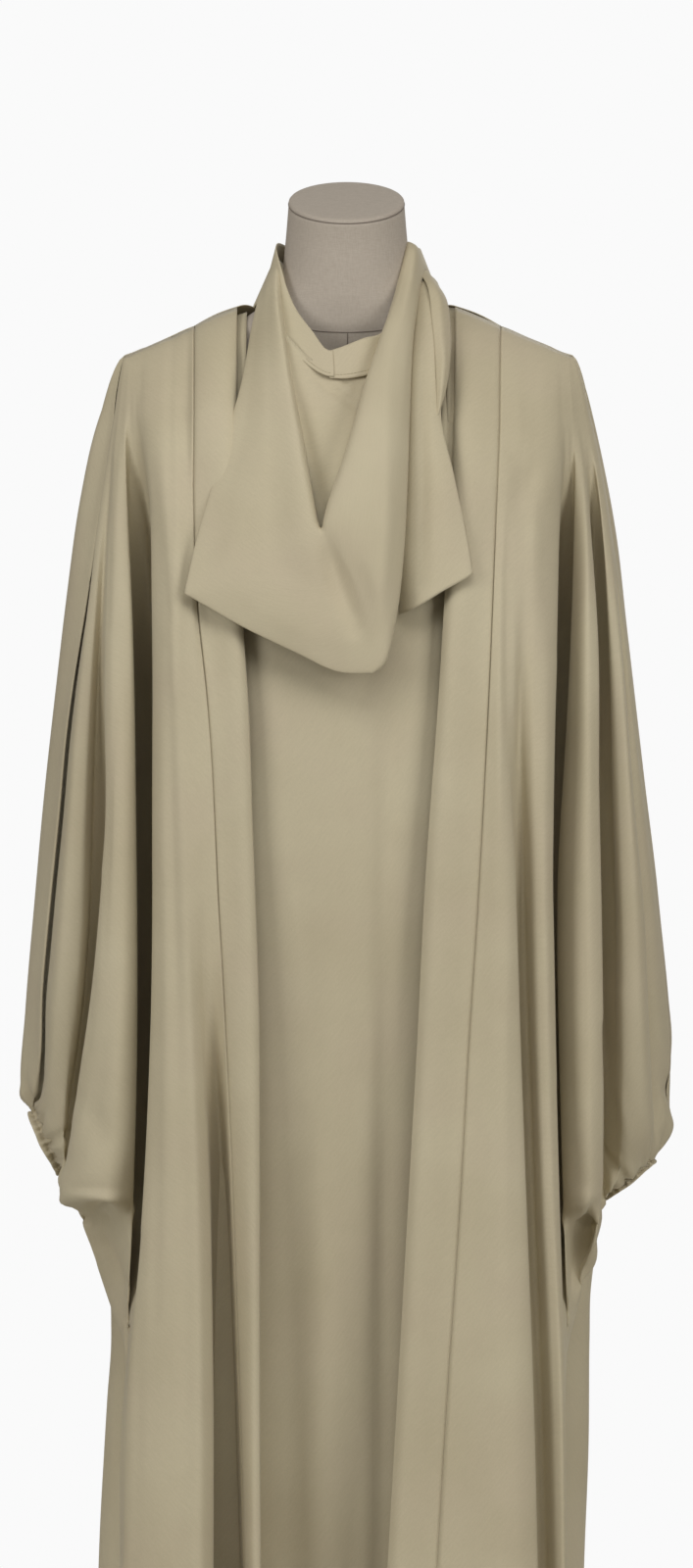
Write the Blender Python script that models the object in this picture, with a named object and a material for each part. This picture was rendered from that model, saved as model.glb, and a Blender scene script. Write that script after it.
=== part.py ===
# Open batwing abaya with its under-dress and draped collar, on a dress form.
# Metres, +Z up. The wearer's front faces -Y, and the pole stands on the origin.
# Every cloth piece is a wall through fold lines: each line is a short table of
# places from the shoulder down to the hem, and the rows of the wall cross all of them.

import math

import bmesh
import bpy
from mathutils import Vector

# ---- driving sizes ---------------------------------------------------------
CLOTH = 0.0020            # wall of every cloth piece
SEAM = 0.0003             # gap between sewn pieces
HEM_Z = 0.035             # cloak hem above the floor
UNDER_HEM_Z = 0.045       # hem of the under-dress
BLEND_Z = 1.20            # above this height the rows start to follow the shoulder slope
CUFF_RADIUS = 0.034       # elastic cuff, about 21 cm round
CUFF_LENGTH = 0.016
CUFF_SIDES = 20
CUFF_CLEAR = 0.0030       # from the sleeve's end to the elastic
BASE_RADIUS = 0.140
BASE_HEIGHT = 0.018
POLE_RADIUS = 0.014
SHOULDER_ROUND = 0.6      # under 1, so that cloth leaves the shoulder ridge level and then drops
NECK_TILT = math.radians(15.0)

# rows of the walls, from the shoulder to the hem
CLOAK_ROWS = (1.433, 1.420, 1.398, 1.365, 1.320, 1.250, 1.150, 1.030, 0.900, 0.780, 0.705,
              0.675, 0.660, 0.644, 0.6295, 0.6135, 0.600, 0.588, 0.565, 0.530, 0.485, 0.370,
              0.220, HEM_Z)
UNDER_ROWS = (1.314, 1.280, 1.230, 1.150, 1.000, 0.820, 0.580, 0.300, UNDER_HEM_Z)

# ---- fold lines ------------------------------------------------------------
# Columns of each row: height, across (+X is the wearer's left), depth (-Y is the front).
LEFT_FRONT = {
    "band_edge": (
        (1.451, -0.106, 0.000), (1.360, -0.105, -0.084), (1.250, -0.102, -0.130),
        (1.141, -0.098, -0.146), (1.067, -0.094, -0.151), (0.952, -0.089, -0.156),
        (0.776, -0.083, -0.163), (0.500, -0.081, -0.175), (0.231, -0.080, -0.184),
        (HEM_Z, -0.079, -0.191)),
    "band_seam": (
        (1.433, -0.148, 0.000), (1.360, -0.147, -0.079), (1.250, -0.146, -0.125),
        (1.166, -0.142, -0.139), (1.079, -0.133, -0.147), (0.864, -0.121, -0.156),
        (0.611, -0.109, -0.160), (0.427, -0.103, -0.158), (0.231, -0.096, -0.160),
        (HEM_Z, -0.090, -0.164)),
    "pleat_floor": (
        (1.428, -0.160, 0.000), (1.350, -0.160, -0.077), (1.200, -0.153, -0.134),
        (1.000, -0.140, -0.148), (0.780, -0.128, -0.153), (0.611, -0.121, -0.152),
        (0.430, -0.116, -0.149), (0.231, -0.111, -0.149), (HEM_Z, -0.108, -0.151)),
    "pleat_ridge": (
        (1.423, -0.172, 0.000), (1.350, -0.173, -0.075), (1.200, -0.168, -0.136),
        (1.000, -0.156, -0.155), (0.780, -0.142, -0.166), (0.611, -0.135, -0.176),
        (0.430, -0.131, -0.186), (0.231, -0.130, -0.194), (HEM_Z, -0.131, -0.200)),
    "panel_dip": (
        (1.417, -0.185, 0.000), (1.350, -0.186, -0.069), (1.200, -0.178, -0.124),
        (1.000, -0.171, -0.144), (0.780, -0.163, -0.156), (0.611, -0.162, -0.168),
        (0.430, -0.164, -0.178), (0.231, -0.166, -0.184), (HEM_Z, -0.168, -0.190)),
    "panel_turn": (
        (1.411, -0.198, 0.000), (1.350, -0.199, -0.056), (1.250, -0.193, -0.098),
        (1.153, -0.187, -0.116), (0.991, -0.187, -0.128), (0.754, -0.189, -0.142),
        (0.554, -0.198, -0.152), (0.440, -0.208, -0.156), (0.231, -0.215, -0.164),
        (HEM_Z, -0.219, -0.170)),
    "gap_floor": (
        (1.408, -0.205, 0.000), (1.350, -0.206, -0.046), (1.250, -0.203, -0.070),
        (1.150, -0.200, -0.066), (0.991, -0.196, -0.058), (0.754, -0.197, -0.056),
        (0.600, -0.202, -0.074), (0.540, -0.208, -0.100), (0.480, -0.214, -0.112),
        (0.400, -0.219, -0.113), (0.231, -0.226, -0.116), (HEM_Z, -0.230, -0.120)),
    "lobe_edge": (
        (1.406, -0.209, 0.000), (1.350, -0.212, -0.041), (1.250, -0.211, -0.080),
        (1.150, -0.211, -0.106), (0.991, -0.209, -0.122), (0.754, -0.208, -0.124),
        (0.600, -0.214, -0.114), (0.540, -0.221, -0.090), (0.480, -0.223, -0.078),
        (0.400, -0.226, -0.074), (0.231, -0.233, -0.078), (HEM_Z, -0.237, -0.082)),
    "lobe_ridge": (
        (1.405, -0.212, 0.000), (1.350, -0.219, -0.036), (1.250, -0.226, -0.075),
        (1.100, -0.230, -0.110), (0.947, -0.229, -0.128), (0.793, -0.242, -0.122),
        (0.677, -0.256, -0.100), (0.600, -0.258, -0.070), (0.520, -0.233, -0.046),
        (0.400, -0.229, -0.040), (0.231, -0.237, -0.044), (HEM_Z, -0.241, -0.048)),
    "lobe_trough": (
        (1.4045, -0.2135, 0.000), (1.350, -0.226, -0.028), (1.250, -0.240, -0.058),
        (1.100, -0.247, -0.082), (0.947, -0.252, -0.088), (0.793, -0.264, -0.076),
        (0.677, -0.281, -0.056), (0.600, -0.272, -0.042), (0.520, -0.236, -0.022),
        (0.400, -0.230, -0.012), (0.231, -0.238, -0.012), (HEM_Z, -0.242, -0.014)),
    "overarm": (
        (1.404, -0.215, 0.000), (1.352, -0.235, -0.014), (1.267, -0.254, -0.024),
        (1.167, -0.268, -0.030), (1.039, -0.284, -0.030), (0.873, -0.301, -0.022),
        (0.770, -0.311, -0.014), (0.705, -0.314, -0.006), (0.6746, -0.302, -0.005),
        (0.6134, -0.272, -0.005), (0.585, -0.270, -0.004), (0.557, -0.254, 0.006),
        (0.517, -0.238, 0.010), (0.455, -0.227, 0.018), (0.380, -0.230, 0.020),
        (0.231, -0.237, 0.022), (HEM_Z, -0.242, 0.024)),
}
RIGHT_FRONT = {
    "band_edge": (
        (1.451, 0.106, 0.000), (1.360, 0.104, -0.084), (1.276, 0.101, -0.124),
        (1.178, 0.095, -0.143), (1.080, 0.089, -0.150), (0.899, 0.076, -0.158),
        (0.741, 0.068, -0.165), (0.635, 0.062, -0.169), (0.440, 0.051, -0.177),
        (0.231, 0.039, -0.185), (HEM_Z, 0.028, -0.192)),
    "band_seam": (
        (1.433, 0.150, 0.000), (1.333, 0.147, -0.096), (1.205, 0.141, -0.136),
        (1.134, 0.138, -0.144), (1.010, 0.132, -0.152), (0.864, 0.124, -0.158),
        (0.741, 0.116, -0.163), (0.611, 0.109, -0.168), (0.400, 0.095, -0.177),
        (0.231, 0.085, -0.184), (HEM_Z, 0.075, -0.190)),
    "panel_ridge": (
        (1.422, 0.176, 0.000), (1.333, 0.175, -0.086), (1.205, 0.156, -0.136),
        (1.043, 0.149, -0.153), (0.800, 0.150, -0.166), (0.611, 0.152, -0.174),
        (0.400, 0.157, -0.183), (0.231, 0.161, -0.189), (HEM_Z, 0.164, -0.194)),
    "panel_dip": (
        (1.415, 0.192, 0.000), (1.333, 0.190, -0.074), (1.205, 0.177, -0.122),
        (1.043, 0.166, -0.132), (0.800, 0.171, -0.136), (0.611, 0.177, -0.142),
        (0.400, 0.184, -0.150), (0.231, 0.190, -0.156), (HEM_Z, 0.195, -0.160)),
    "panel_turn": (
        (1.409, 0.205, 0.000), (1.343, 0.206, -0.056), (1.205, 0.200, -0.110),
        (1.043, 0.195, -0.130), (0.846, 0.199, -0.142), (0.611, 0.205, -0.150),
        (0.400, 0.210, -0.156), (0.231, 0.213, -0.162), (HEM_Z, 0.216, -0.168)),
    "gap_floor": (
        (1.407, 0.210, 0.000), (1.343, 0.213, -0.048), (1.205, 0.214, -0.068),
        (1.043, 0.210, -0.064), (0.846, 0.211, -0.070), (0.611, 0.215, -0.084),
        (0.480, 0.220, -0.112), (0.231, 0.223, -0.116), (HEM_Z, 0.226, -0.120)),
    "lobe_edge": (
        (1.4055, 0.2135, 0.000), (1.343, 0.219, -0.044), (1.205, 0.225, -0.082),
        (1.043, 0.223, -0.108), (0.846, 0.226, -0.122), (0.700, 0.226, -0.120),
        (0.611, 0.228, -0.108), (0.480, 0.229, -0.080), (0.231, 0.227, -0.080),
        (HEM_Z, 0.230, -0.084)),
    "lobe_floor": (
        (1.405, 0.215, 0.000), (1.343, 0.224, -0.038), (1.205, 0.240, -0.066),
        (1.043, 0.246, -0.082), (0.846, 0.249, -0.080), (0.700, 0.247, -0.074),
        (0.611, 0.242, -0.068), (0.480, 0.231, -0.050), (0.231, 0.229, -0.048),
        (HEM_Z, 0.232, -0.050)),
    "lobe_ridge": (
        (1.4045, 0.2165, 0.000), (1.343, 0.229, -0.030), (1.205, 0.253, -0.058),
        (1.043, 0.266, -0.080), (0.846, 0.277, -0.084), (0.700, 0.279, -0.072),
        (0.635, 0.266, -0.056), (0.600, 0.252, -0.052), (0.560, 0.240, -0.034),
        (0.480, 0.231, -0.018),
        (0.231, 0.230, -0.014), (HEM_Z, 0.233, -0.014)),
    "overarm": (
        (1.404, 0.218, 0.000), (1.373, 0.228, -0.004), (1.313, 0.243, -0.010),
        (1.219, 0.258, -0.014), (1.134, 0.268, -0.014), (0.989, 0.286, -0.012),
        (0.892, 0.297, -0.010), (0.785, 0.309, -0.006), (0.704, 0.313, -0.004),
        (0.662, 0.315, -0.004), (0.6294, 0.297, -0.004), (0.5886, 0.238, -0.004),
        (0.560, 0.236, 0.006), (0.513, 0.232, 0.010), (0.455, 0.232, 0.018),
        (0.354, 0.233, 0.020), (0.231, 0.228, 0.022), (HEM_Z, 0.226, 0.024)),
}
# The back hangs from the shoulder blades in soft uneven folds, named from the side in.
LEFT_BACK = {
    "sleeve_back": (
        (1.408, -0.206, 0.000), (1.350, -0.222, 0.030), (1.200, -0.246, 0.062),
        (1.000, -0.266, 0.070), (0.800, -0.288, 0.060), (0.690, -0.294, 0.044),
        (0.614, -0.270, 0.048), (0.540, -0.240, 0.050), (0.455, -0.224, 0.064),
        (0.231, -0.230, 0.070), (HEM_Z, -0.234, 0.074)),
    "sleeve_crease": (
        (1.413, -0.193, 0.000), (1.350, -0.202, 0.052), (1.200, -0.214, 0.088),
        (1.000, -0.224, 0.090), (0.800, -0.236, 0.086), (0.690, -0.238, 0.078),
        (0.540, -0.220, 0.094), (0.400, -0.212, 0.112), (0.231, -0.212, 0.120),
        (HEM_Z, -0.214, 0.126)),
    "back_roll": (
        (1.422, -0.173, 0.000), (1.350, -0.176, 0.074), (1.200, -0.176, 0.126),
        (1.000, -0.178, 0.150), (0.700, -0.178, 0.162), (0.400, -0.178, 0.172),
        (0.231, -0.180, 0.178), (HEM_Z, -0.182, 0.184)),
    "back_dip": (
        (1.433, -0.148, 0.004), (1.350, -0.140, 0.088), (1.200, -0.132, 0.134),
        (1.000, -0.130, 0.144), (0.700, -0.130, 0.148), (0.400, -0.132, 0.156),
        (0.231, -0.134, 0.162), (HEM_Z, -0.136, 0.168)),
    "blade": (
        (1.421, -0.094, 0.066), (1.350, -0.088, 0.108), (1.200, -0.082, 0.146),
        (1.000, -0.080, 0.164), (0.700, -0.078, 0.178), (0.400, -0.078, 0.190),
        (0.231, -0.078, 0.196), (HEM_Z, -0.078, 0.202)),
}
CENTRE_BACK = (
    (1.412, 0.000, 0.092), (1.350, 0.000, 0.116), (1.200, 0.004, 0.146),
    (1.000, 0.006, 0.156), (0.700, 0.006, 0.164), (0.400, 0.004, 0.176),
    (0.231, 0.002, 0.182), (HEM_Z, 0.002, 0.188))
RIGHT_BACK = {
    "blade": (
        (1.421, 0.094, 0.066), (1.350, 0.088, 0.108), (1.200, 0.080, 0.148),
        (1.000, 0.074, 0.168), (0.700, 0.070, 0.184), (0.400, 0.068, 0.196),
        (0.231, 0.068, 0.202), (HEM_Z, 0.068, 0.208)),
    "back_dip": (
        (1.433, 0.150, 0.004), (1.350, 0.142, 0.088), (1.200, 0.130, 0.134),
        (1.000, 0.122, 0.142), (0.700, 0.120, 0.146), (0.400, 0.120, 0.154),
        (0.231, 0.122, 0.160), (HEM_Z, 0.124, 0.166)),
    "back_roll": (
        (1.422, 0.176, 0.000), (1.350, 0.180, 0.072), (1.200, 0.178, 0.124),
        (1.000, 0.172, 0.152), (0.700, 0.170, 0.166), (0.400, 0.170, 0.176),
        (0.231, 0.172, 0.182), (HEM_Z, 0.174, 0.188)),
    "sleeve_crease": (
        (1.412, 0.200, 0.000), (1.350, 0.207, 0.050), (1.200, 0.216, 0.088),
        (1.000, 0.222, 0.092), (0.800, 0.232, 0.086), (0.690, 0.234, 0.080),
        (0.540, 0.218, 0.092), (0.400, 0.210, 0.112), (0.231, 0.208, 0.120),
        (HEM_Z, 0.208, 0.126)),
    "sleeve_back": (
        (1.4075, 0.210, 0.000), (1.350, 0.224, 0.030), (1.200, 0.248, 0.062),
        (1.000, 0.268, 0.070), (0.800, 0.290, 0.062), (0.690, 0.294, 0.048),
        (0.614, 0.262, 0.050), (0.540, 0.236, 0.052), (0.455, 0.226, 0.064),
        (0.231, 0.222, 0.070), (HEM_Z, 0.220, 0.074)),
}
CUFFS = {                 # centre of the gathered end, and the way it faces
    "left": {"centre": (-0.287, -0.005, 0.6440), "faces": (-0.900, 0.0, -0.436)},
    "right": {"centre": (0.270, -0.004, 0.6090), "faces": (0.600, 0.0, -0.800)},
}

# Under-dress, half of it: columns are height, across, depth of the front, depth of the back.
UNDER_LINES = {
    "centre": (
        (1.300, 0.000, -0.112, 0.110), (1.250, 0.000, -0.129, 0.114),
        (1.150, 0.000, -0.138, 0.118), (1.000, 0.000, -0.141, 0.122),
        (0.700, 0.000, -0.146, 0.132), (0.340, 0.000, -0.150, 0.142),
        (UNDER_HEM_Z, 0.000, -0.152, 0.148)),
    "chest": (
        (1.304, 0.048, -0.110, 0.108), (1.250, 0.046, -0.126, 0.110),
        (1.150, 0.045, -0.134, 0.116), (1.000, 0.045, -0.133, 0.118),
        (0.700, 0.048, -0.136, 0.126), (0.340, 0.052, -0.138, 0.134),
        (UNDER_HEM_Z, 0.054, -0.140, 0.138)),
    "strap_inner": (
        (1.314, 0.099, -0.098, 0.100), (1.250, 0.098, -0.112, 0.104),
        (1.150, 0.098, -0.123, 0.108), (1.000, 0.100, -0.126, 0.110),
        (0.700, 0.106, -0.128, 0.118), (0.340, 0.114, -0.130, 0.126),
        (UNDER_HEM_Z, 0.118, -0.132, 0.130)),
    "strap_outer": (
        (1.312, 0.129, -0.084, 0.086), (1.250, 0.130, -0.094, 0.090),
        (1.150, 0.131, -0.100, 0.092), (1.000, 0.134, -0.102, 0.092),
        (0.700, 0.143, -0.105, 0.098), (0.340, 0.152, -0.107, 0.104),
        (UNDER_HEM_Z, 0.156, -0.109, 0.108)),
    "armhole": (
        (1.288, 0.157, -0.056, 0.058), (1.250, 0.158, -0.062, 0.058),
        (1.150, 0.156, -0.064, 0.058), (1.000, 0.157, -0.064, 0.058),
        (0.700, 0.171, -0.067, 0.063), (0.340, 0.182, -0.069, 0.067),
        (UNDER_HEM_Z, 0.186, -0.071, 0.069)),
    "side": (
        (1.262, 0.172, 0.000, 0.000), (1.200, 0.172, 0.000, 0.000),
        (1.100, 0.168, 0.000, 0.000), (1.000, 0.169, 0.000, 0.000),
        (0.700, 0.185, 0.000, 0.000), (0.340, 0.196, 0.000, 0.000),
        (UNDER_HEM_Z, 0.201, 0.000, 0.000)),
}
# Shoulder strap, from the front over the shoulder to the back: neck-side edge, arm-side edge,
# each as across, depth, height.
STRAP = {
    "front_low": ((0.099, -0.098, 1.3150), (0.129, -0.084, 1.3135)),
    "front": ((0.099, -0.083, 1.3500), (0.129, -0.072, 1.3450)),
    "front_high": ((0.099, -0.063, 1.3850), (0.129, -0.052, 1.3780)),
    "top_front": ((0.099, -0.035, 1.4250), (0.129, -0.028, 1.4140)),
    "top": ((0.099, 0.000, 1.4405), (0.129, 0.000, 1.4290)),
    "top_back": ((0.099, 0.034, 1.4260), (0.129, 0.028, 1.4150)),
    "back_high": ((0.099, 0.070, 1.3860), (0.129, 0.060, 1.3790)),
    "back": ((0.099, 0.088, 1.3500), (0.129, 0.077, 1.3450)),
    "back_low": ((0.099, 0.100, 1.3155), (0.129, 0.086, 1.3140)),
}

# Dress form. Columns: height, half width, front depth, back depth.
FORM_SECTIONS = (
    (0.770, 0.150, 0.098, 0.098), (0.785, 0.158, 0.104, 0.106), (0.850, 0.164, 0.106, 0.112),
    (0.950, 0.146, 0.094, 0.098), (1.050, 0.122, 0.082, 0.080), (1.130, 0.134, 0.098, 0.086),
    (1.200, 0.150, 0.118, 0.096), (1.260, 0.158, 0.112, 0.098), (1.320, 0.168, 0.086, 0.092),
    (1.365, 0.180, 0.066, 0.080), (1.392, 0.176, 0.055, 0.068), (1.410, 0.148, 0.049, 0.060),
    (1.424, 0.112, 0.049, 0.055), (1.438, 0.080, 0.052, 0.054), (1.456, 0.064, 0.053, 0.054),
    (1.480, 0.060, 0.052, 0.053), (1.510, 0.058, 0.052, 0.053), (1.540, 0.0565, 0.054, 0.054))
FORM_SIDES = 28
CAP_HEIGHT = 0.014

# Collar. Columns: upper or inner edge (across, depth, height), then lower or outer edge.
NECKBAND = {
    "front": ((-0.008, -0.090, 1.408), (-0.004, -0.103, 1.380)),
    "front_left": ((-0.030, -0.080, 1.440), (-0.038, -0.097, 1.400)),
    "left": ((-0.0655, -0.030, 1.500), (-0.076, -0.046, 1.450)),
    "left_side": ((-0.0685, 0.005, 1.513), (-0.080, 0.004, 1.468)),
    "back_left": ((-0.046, 0.052, 1.508), (-0.054, 0.062, 1.462)),
    "back": ((0.000, 0.069, 1.505), (0.000, 0.080, 1.458)),
    "back_right": ((0.046, 0.052, 1.508), (0.054, 0.062, 1.462)),
    "right_side": ((0.0665, 0.005, 1.512), (0.078, 0.004, 1.462)),
    "right": ((0.062, -0.034, 1.478), (0.071, -0.048, 1.440)),
    "front_right": ((0.032, -0.076, 1.424), (0.030, -0.099, 1.386)),
}
BIB = {
    "left_neck": ((-0.066, -0.068, 1.434), (-0.073, -0.142, 1.225)),
    "left": ((-0.0395, -0.102, 1.394), (-0.050, -0.149, 1.205)),
    "middle": ((-0.004, -0.108, 1.374), (-0.020, -0.154, 1.195)),
    "right": ((0.031, -0.104, 1.380), (0.012, -0.150, 1.210)),
    "right_neck": ((0.062, -0.068, 1.428), (0.040, -0.138, 1.240)),
}
DRAPE = {
    "left_neck": ((-0.086, -0.006, 1.468), (-0.104, -0.008, 1.460)),
    "left_shoulder": ((-0.072, -0.086, 1.420), (-0.107, -0.086, 1.398)),
    "left_lapel": ((-0.060, -0.120, 1.375), (-0.122, -0.120, 1.302)),
    "corner": ((-0.044, -0.148, 1.300), (-0.154, -0.150, 1.174)),
    "left_hem": ((-0.034, -0.160, 1.256), (-0.098, -0.164, 1.142)),
    "v_low": ((-0.026, -0.170, 1.236), (-0.030, -0.170, 1.106)),
    "cowl_tip": ((-0.016, -0.172, 1.258), (0.031, -0.176, 1.099)),
    "cowl_low": ((-0.004, -0.168, 1.300), (0.050, -0.174, 1.160)),
    "cowl": ((0.012, -0.152, 1.352), (0.059, -0.160, 1.262)),
    "cowl_high": ((0.028, -0.132, 1.400), (0.065, -0.138, 1.352)),
    "right_neck": ((0.050, -0.092, 1.455), (0.073, -0.088, 1.436)),
}
FALL = {
    "neck": ((0.079, -0.050, 1.474), (0.096, -0.012, 1.478)),
    "shoulder": ((0.068, -0.086, 1.412), (0.103, -0.078, 1.424)),
    "chest": ((0.056, -0.126, 1.330), (0.094, -0.118, 1.352)),
    "low": ((0.052, -0.150, 1.240), (0.106, -0.144, 1.270)),
    "hem": ((0.046, -0.156, 1.158), (0.119, -0.152, 1.192)),
}
COLLAR_BACK = {
    "left": ((-0.0855, 0.001, 1.480), (-0.104, -0.003, 1.460)),
    "left_turn": ((-0.072, 0.050, 1.500), (-0.104, 0.066, 1.452)),
    "left_blade": ((-0.044, 0.080, 1.502), (-0.070, 0.116, 1.420)),
    "middle": ((0.000, 0.093, 1.500), (0.000, 0.132, 1.392)),
    "right_blade": ((0.044, 0.080, 1.502), (0.070, 0.116, 1.420)),
    "right_turn": ((0.072, 0.050, 1.500), (0.104, 0.066, 1.452)),
    "right": ((0.0845, 0.001, 1.490), (0.100, -0.004, 1.470)),
}
BACK_BAND_IN = Vector((0.716, 0.850, 1.0))   # the band's neck edge, from the edge sewn to the back
BACK_BAND_RISE = Vector((0.0, 0.0, 0.019))

CREPE = (0.447, 0.392, 0.269)
LINEN = (0.381, 0.332, 0.287)
STEEL = (0.600, 0.590, 0.570)


# ---- scene and materials ---------------------------------------------------
def clear_scene():
    for existing in list(bpy.data.objects):
        bpy.data.objects.remove(existing, do_unlink=True)


def finish_material(name, color, roughness, metallic):
    material = bpy.data.materials.new(name)
    material.use_nodes = True
    shader = material.node_tree.nodes["Principled BSDF"]
    shader.inputs["Base Color"].default_value = (*color, 1.0)
    shader.inputs["Roughness"].default_value = roughness
    shader.inputs["Metallic"].default_value = metallic
    return material


def add_object(name, mesh_data, material):
    bmesh.ops.recalc_face_normals(mesh_data, faces=mesh_data.faces)
    if mesh_data.calc_volume(signed=True) < 0.0:
        bmesh.ops.reverse_faces(mesh_data, faces=mesh_data.faces)
    mesh = bpy.data.meshes.new(name)
    mesh_data.to_mesh(mesh)
    mesh_data.free()
    mesh.materials.append(material)
    mesh.shade_smooth()
    mesh.set_sharp_from_angle(angle=math.radians(50.0))
    placed = bpy.data.objects.new(name, mesh)
    bpy.context.scene.collection.objects.link(placed)
    return placed


# ---- curves through the tables ---------------------------------------------
def hermite(before, start, end, after, t):
    """Point between start and end on a smooth curve through four places."""
    into = (end - before) * 0.5
    out = (after - start) * 0.5
    t2 = t * t
    t3 = t2 * t
    return (start * (2 * t3 - 3 * t2 + 1) + into * (t3 - 2 * t2 + t)
            + end * (3 * t2 - 2 * t3) + out * (t3 - t2))


def smooth_row(places, steps):
    """A smooth run through the places, with `steps` parts between neighbours."""
    run = []
    last = len(places) - 1
    for index in range(last):
        before = places[max(index - 1, 0)]
        after = places[min(index + 2, last)]
        for step in range(steps):
            run.append(hermite(before, places[index], places[index + 1], after, step / steps))
    run.append(places[last])
    return run


def at_height(line, height):
    """Across and depth of a fold line at a height; it rounds over the shoulder, then falls."""
    if height >= line[0][0]:
        return Vector(line[0][1:])
    if height >= line[1][0]:
        share = (line[0][0] - height) / (line[0][0] - line[1][0])
        return Vector(line[0][1:]).lerp(Vector(line[1][1:]), share ** SHOULDER_ROUND)
    for upper, lower in zip(line, line[1:]):
        if height >= lower[0]:
            span = (upper[0] - height) / (upper[0] - lower[0])
            index = line.index(upper)
            before = line[max(index - 1, 0)]
            after = line[min(index + 2, len(line) - 1)]
            into = slope(before, lower) * (upper[0] - lower[0])
            out = slope(upper, after) * (upper[0] - lower[0])
            t2 = span * span
            t3 = t2 * span
            return (Vector(upper[1:]) * (2 * t3 - 3 * t2 + 1) + into * (t3 - 2 * t2 + span)
                    + Vector(lower[1:]) * (3 * t2 - 2 * t3) + out * (t3 - t2))
    return Vector(line[-1][1:])


def slope(upper, lower):
    return (Vector(lower[1:]) - Vector(upper[1:])) / (upper[0] - lower[0])


def line_place(line, row_height, rows_top):
    """3-D place of a fold line on a row; the top rows follow the line's own top."""
    height = row_height
    if row_height > BLEND_Z:
        share = (row_height - BLEND_Z) / (rows_top - BLEND_Z)
        height = BLEND_Z + (line[0][0] - BLEND_Z) * share
    flat = at_height(line, height)
    return Vector((flat[0], flat[1], height))


def grid_through(lines, rows, steps, cuffs=None, direction=0.0):
    """Rows of places across all the lines. `cuffs` opens a line round its cuff."""
    grid = []
    for row in rows:
        places = [line_place(line, row, rows[0]) for line in lines]
        for index, cuff in (cuffs or {}).items():
            places[index] = part_at_cuff(places[index], cuff, direction)
        grid.append(smooth_row(places, steps))
    return grid


# ---- walls -----------------------------------------------------------------
def surface_normals(grid, side, before=None, after=None):
    """Normal at each place of a grid. `before` and `after` are neighbouring columns."""
    normals = []
    last_row = len(grid) - 1
    for r, row in enumerate(grid):
        normals.append([])
        last = len(row) - 1
        for c in range(last + 1):
            left = row[c - 1] if c > 0 else (before[r] if before else row[c])
            right = row[c + 1] if c < last else (after[r] if after else row[c])
            across = (row[c] - left).normalized() + (right - row[c]).normalized()
            down = grid[min(r + 1, last_row)][c] - grid[max(r - 1, 0)][c]
            normal = across.cross(down) * side
            normals[r].append(normal.normalized())
    return normals


def ridge_normals(normals, grid):
    """Along the shoulder the wall is cut square to the ridge, so front and back meet."""
    top = grid[0]
    for c in range(len(top)):
        along = top[min(c + 1, len(top) - 1)] - top[max(c - 1, 0)]
        up = Vector((0.0, 0.0, 1.0))
        if along.length > 1e-6:
            along.normalize()
            up = up - along * up.dot(along)
        normals[0][c] = up.normalized()


def inset_edges(grid, left=True, right=True, top=True):
    """Moves the outer rows and columns in by half the seam gap."""
    half = SEAM * 0.5
    for r, row in enumerate(grid):
        if left:
            row[0] = row[0] + (row[1] - row[0]).normalized() * half
        if right:
            row[-1] = row[-1] + (row[-2] - row[-1]).normalized() * half
    if top:
        for c in range(len(grid[0])):
            grid[0][c] = grid[0][c] + (grid[1][c] - grid[0][c]).normalized() * half


def part_along_ridge(grid, lean, columns):
    """Keeps front and back apart along the shoulder row and the overarm columns."""
    for place in grid[0]:
        place.y += lean
    for row in grid[1:]:
        for c in columns:
            row[c].y += lean


def wall(name, grid, normals, material, thickness=CLOTH, ring=False):
    """Closed cloth wall: the grid is its outer face, its inner face lies `thickness` in."""
    mesh = bmesh.new()
    outer = [[mesh.verts.new(place) for place in row] for row in grid]
    inner = [[mesh.verts.new(place - normal * thickness)
              for place, normal in zip(row, row_normals)]
             for row, row_normals in zip(grid, normals)]
    rows = len(grid)
    columns = len(grid[0])
    spans = columns if ring else columns - 1
    for r in range(rows - 1):
        for c in range(spans):
            d = (c + 1) % columns
            mesh.faces.new((outer[r][c], outer[r + 1][c], outer[r + 1][d], outer[r][d]))
            mesh.faces.new((inner[r][c], inner[r][d], inner[r + 1][d], inner[r + 1][c]))
    for c in range(spans):
        d = (c + 1) % columns
        mesh.faces.new((outer[0][c], outer[0][d], inner[0][d], inner[0][c]))
        mesh.faces.new((outer[-1][c], inner[-1][c], inner[-1][d], outer[-1][d]))
    if not ring:
        for r in range(rows - 1):
            mesh.faces.new((outer[r][0], inner[r][0], inner[r + 1][0], outer[r + 1][0]))
            mesh.faces.new((outer[r][-1], outer[r + 1][-1], inner[r + 1][-1], inner[r][-1]))
    return add_object(name, mesh, material)


# ---- cloak -----------------------------------------------------------------
def part_at_cuff(place, cuff, direction):
    """Opens the overarm line round the cuff: the front half goes forward, the back half back."""
    centre = Vector(cuff["centre"])
    drop = place.z - centre.z
    rise = drop / (CUFF_RADIUS * abs(cuff["faces"][0]))
    if abs(rise) >= 1.0:
        return place
    reach = CUFF_RADIUS * math.sqrt(1.0 - rise * rise)
    tilt = cuff["faces"][2] / cuff["faces"][0]
    return Vector((centre.x - drop * tilt, centre.y + direction * reach, place.z))


def column_of(grid, index):
    return [row[index].copy() for row in grid]


def columns_between(grid, first, last):
    return [[place.copy() for place in row[first:last + 1]] for row in grid]


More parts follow.
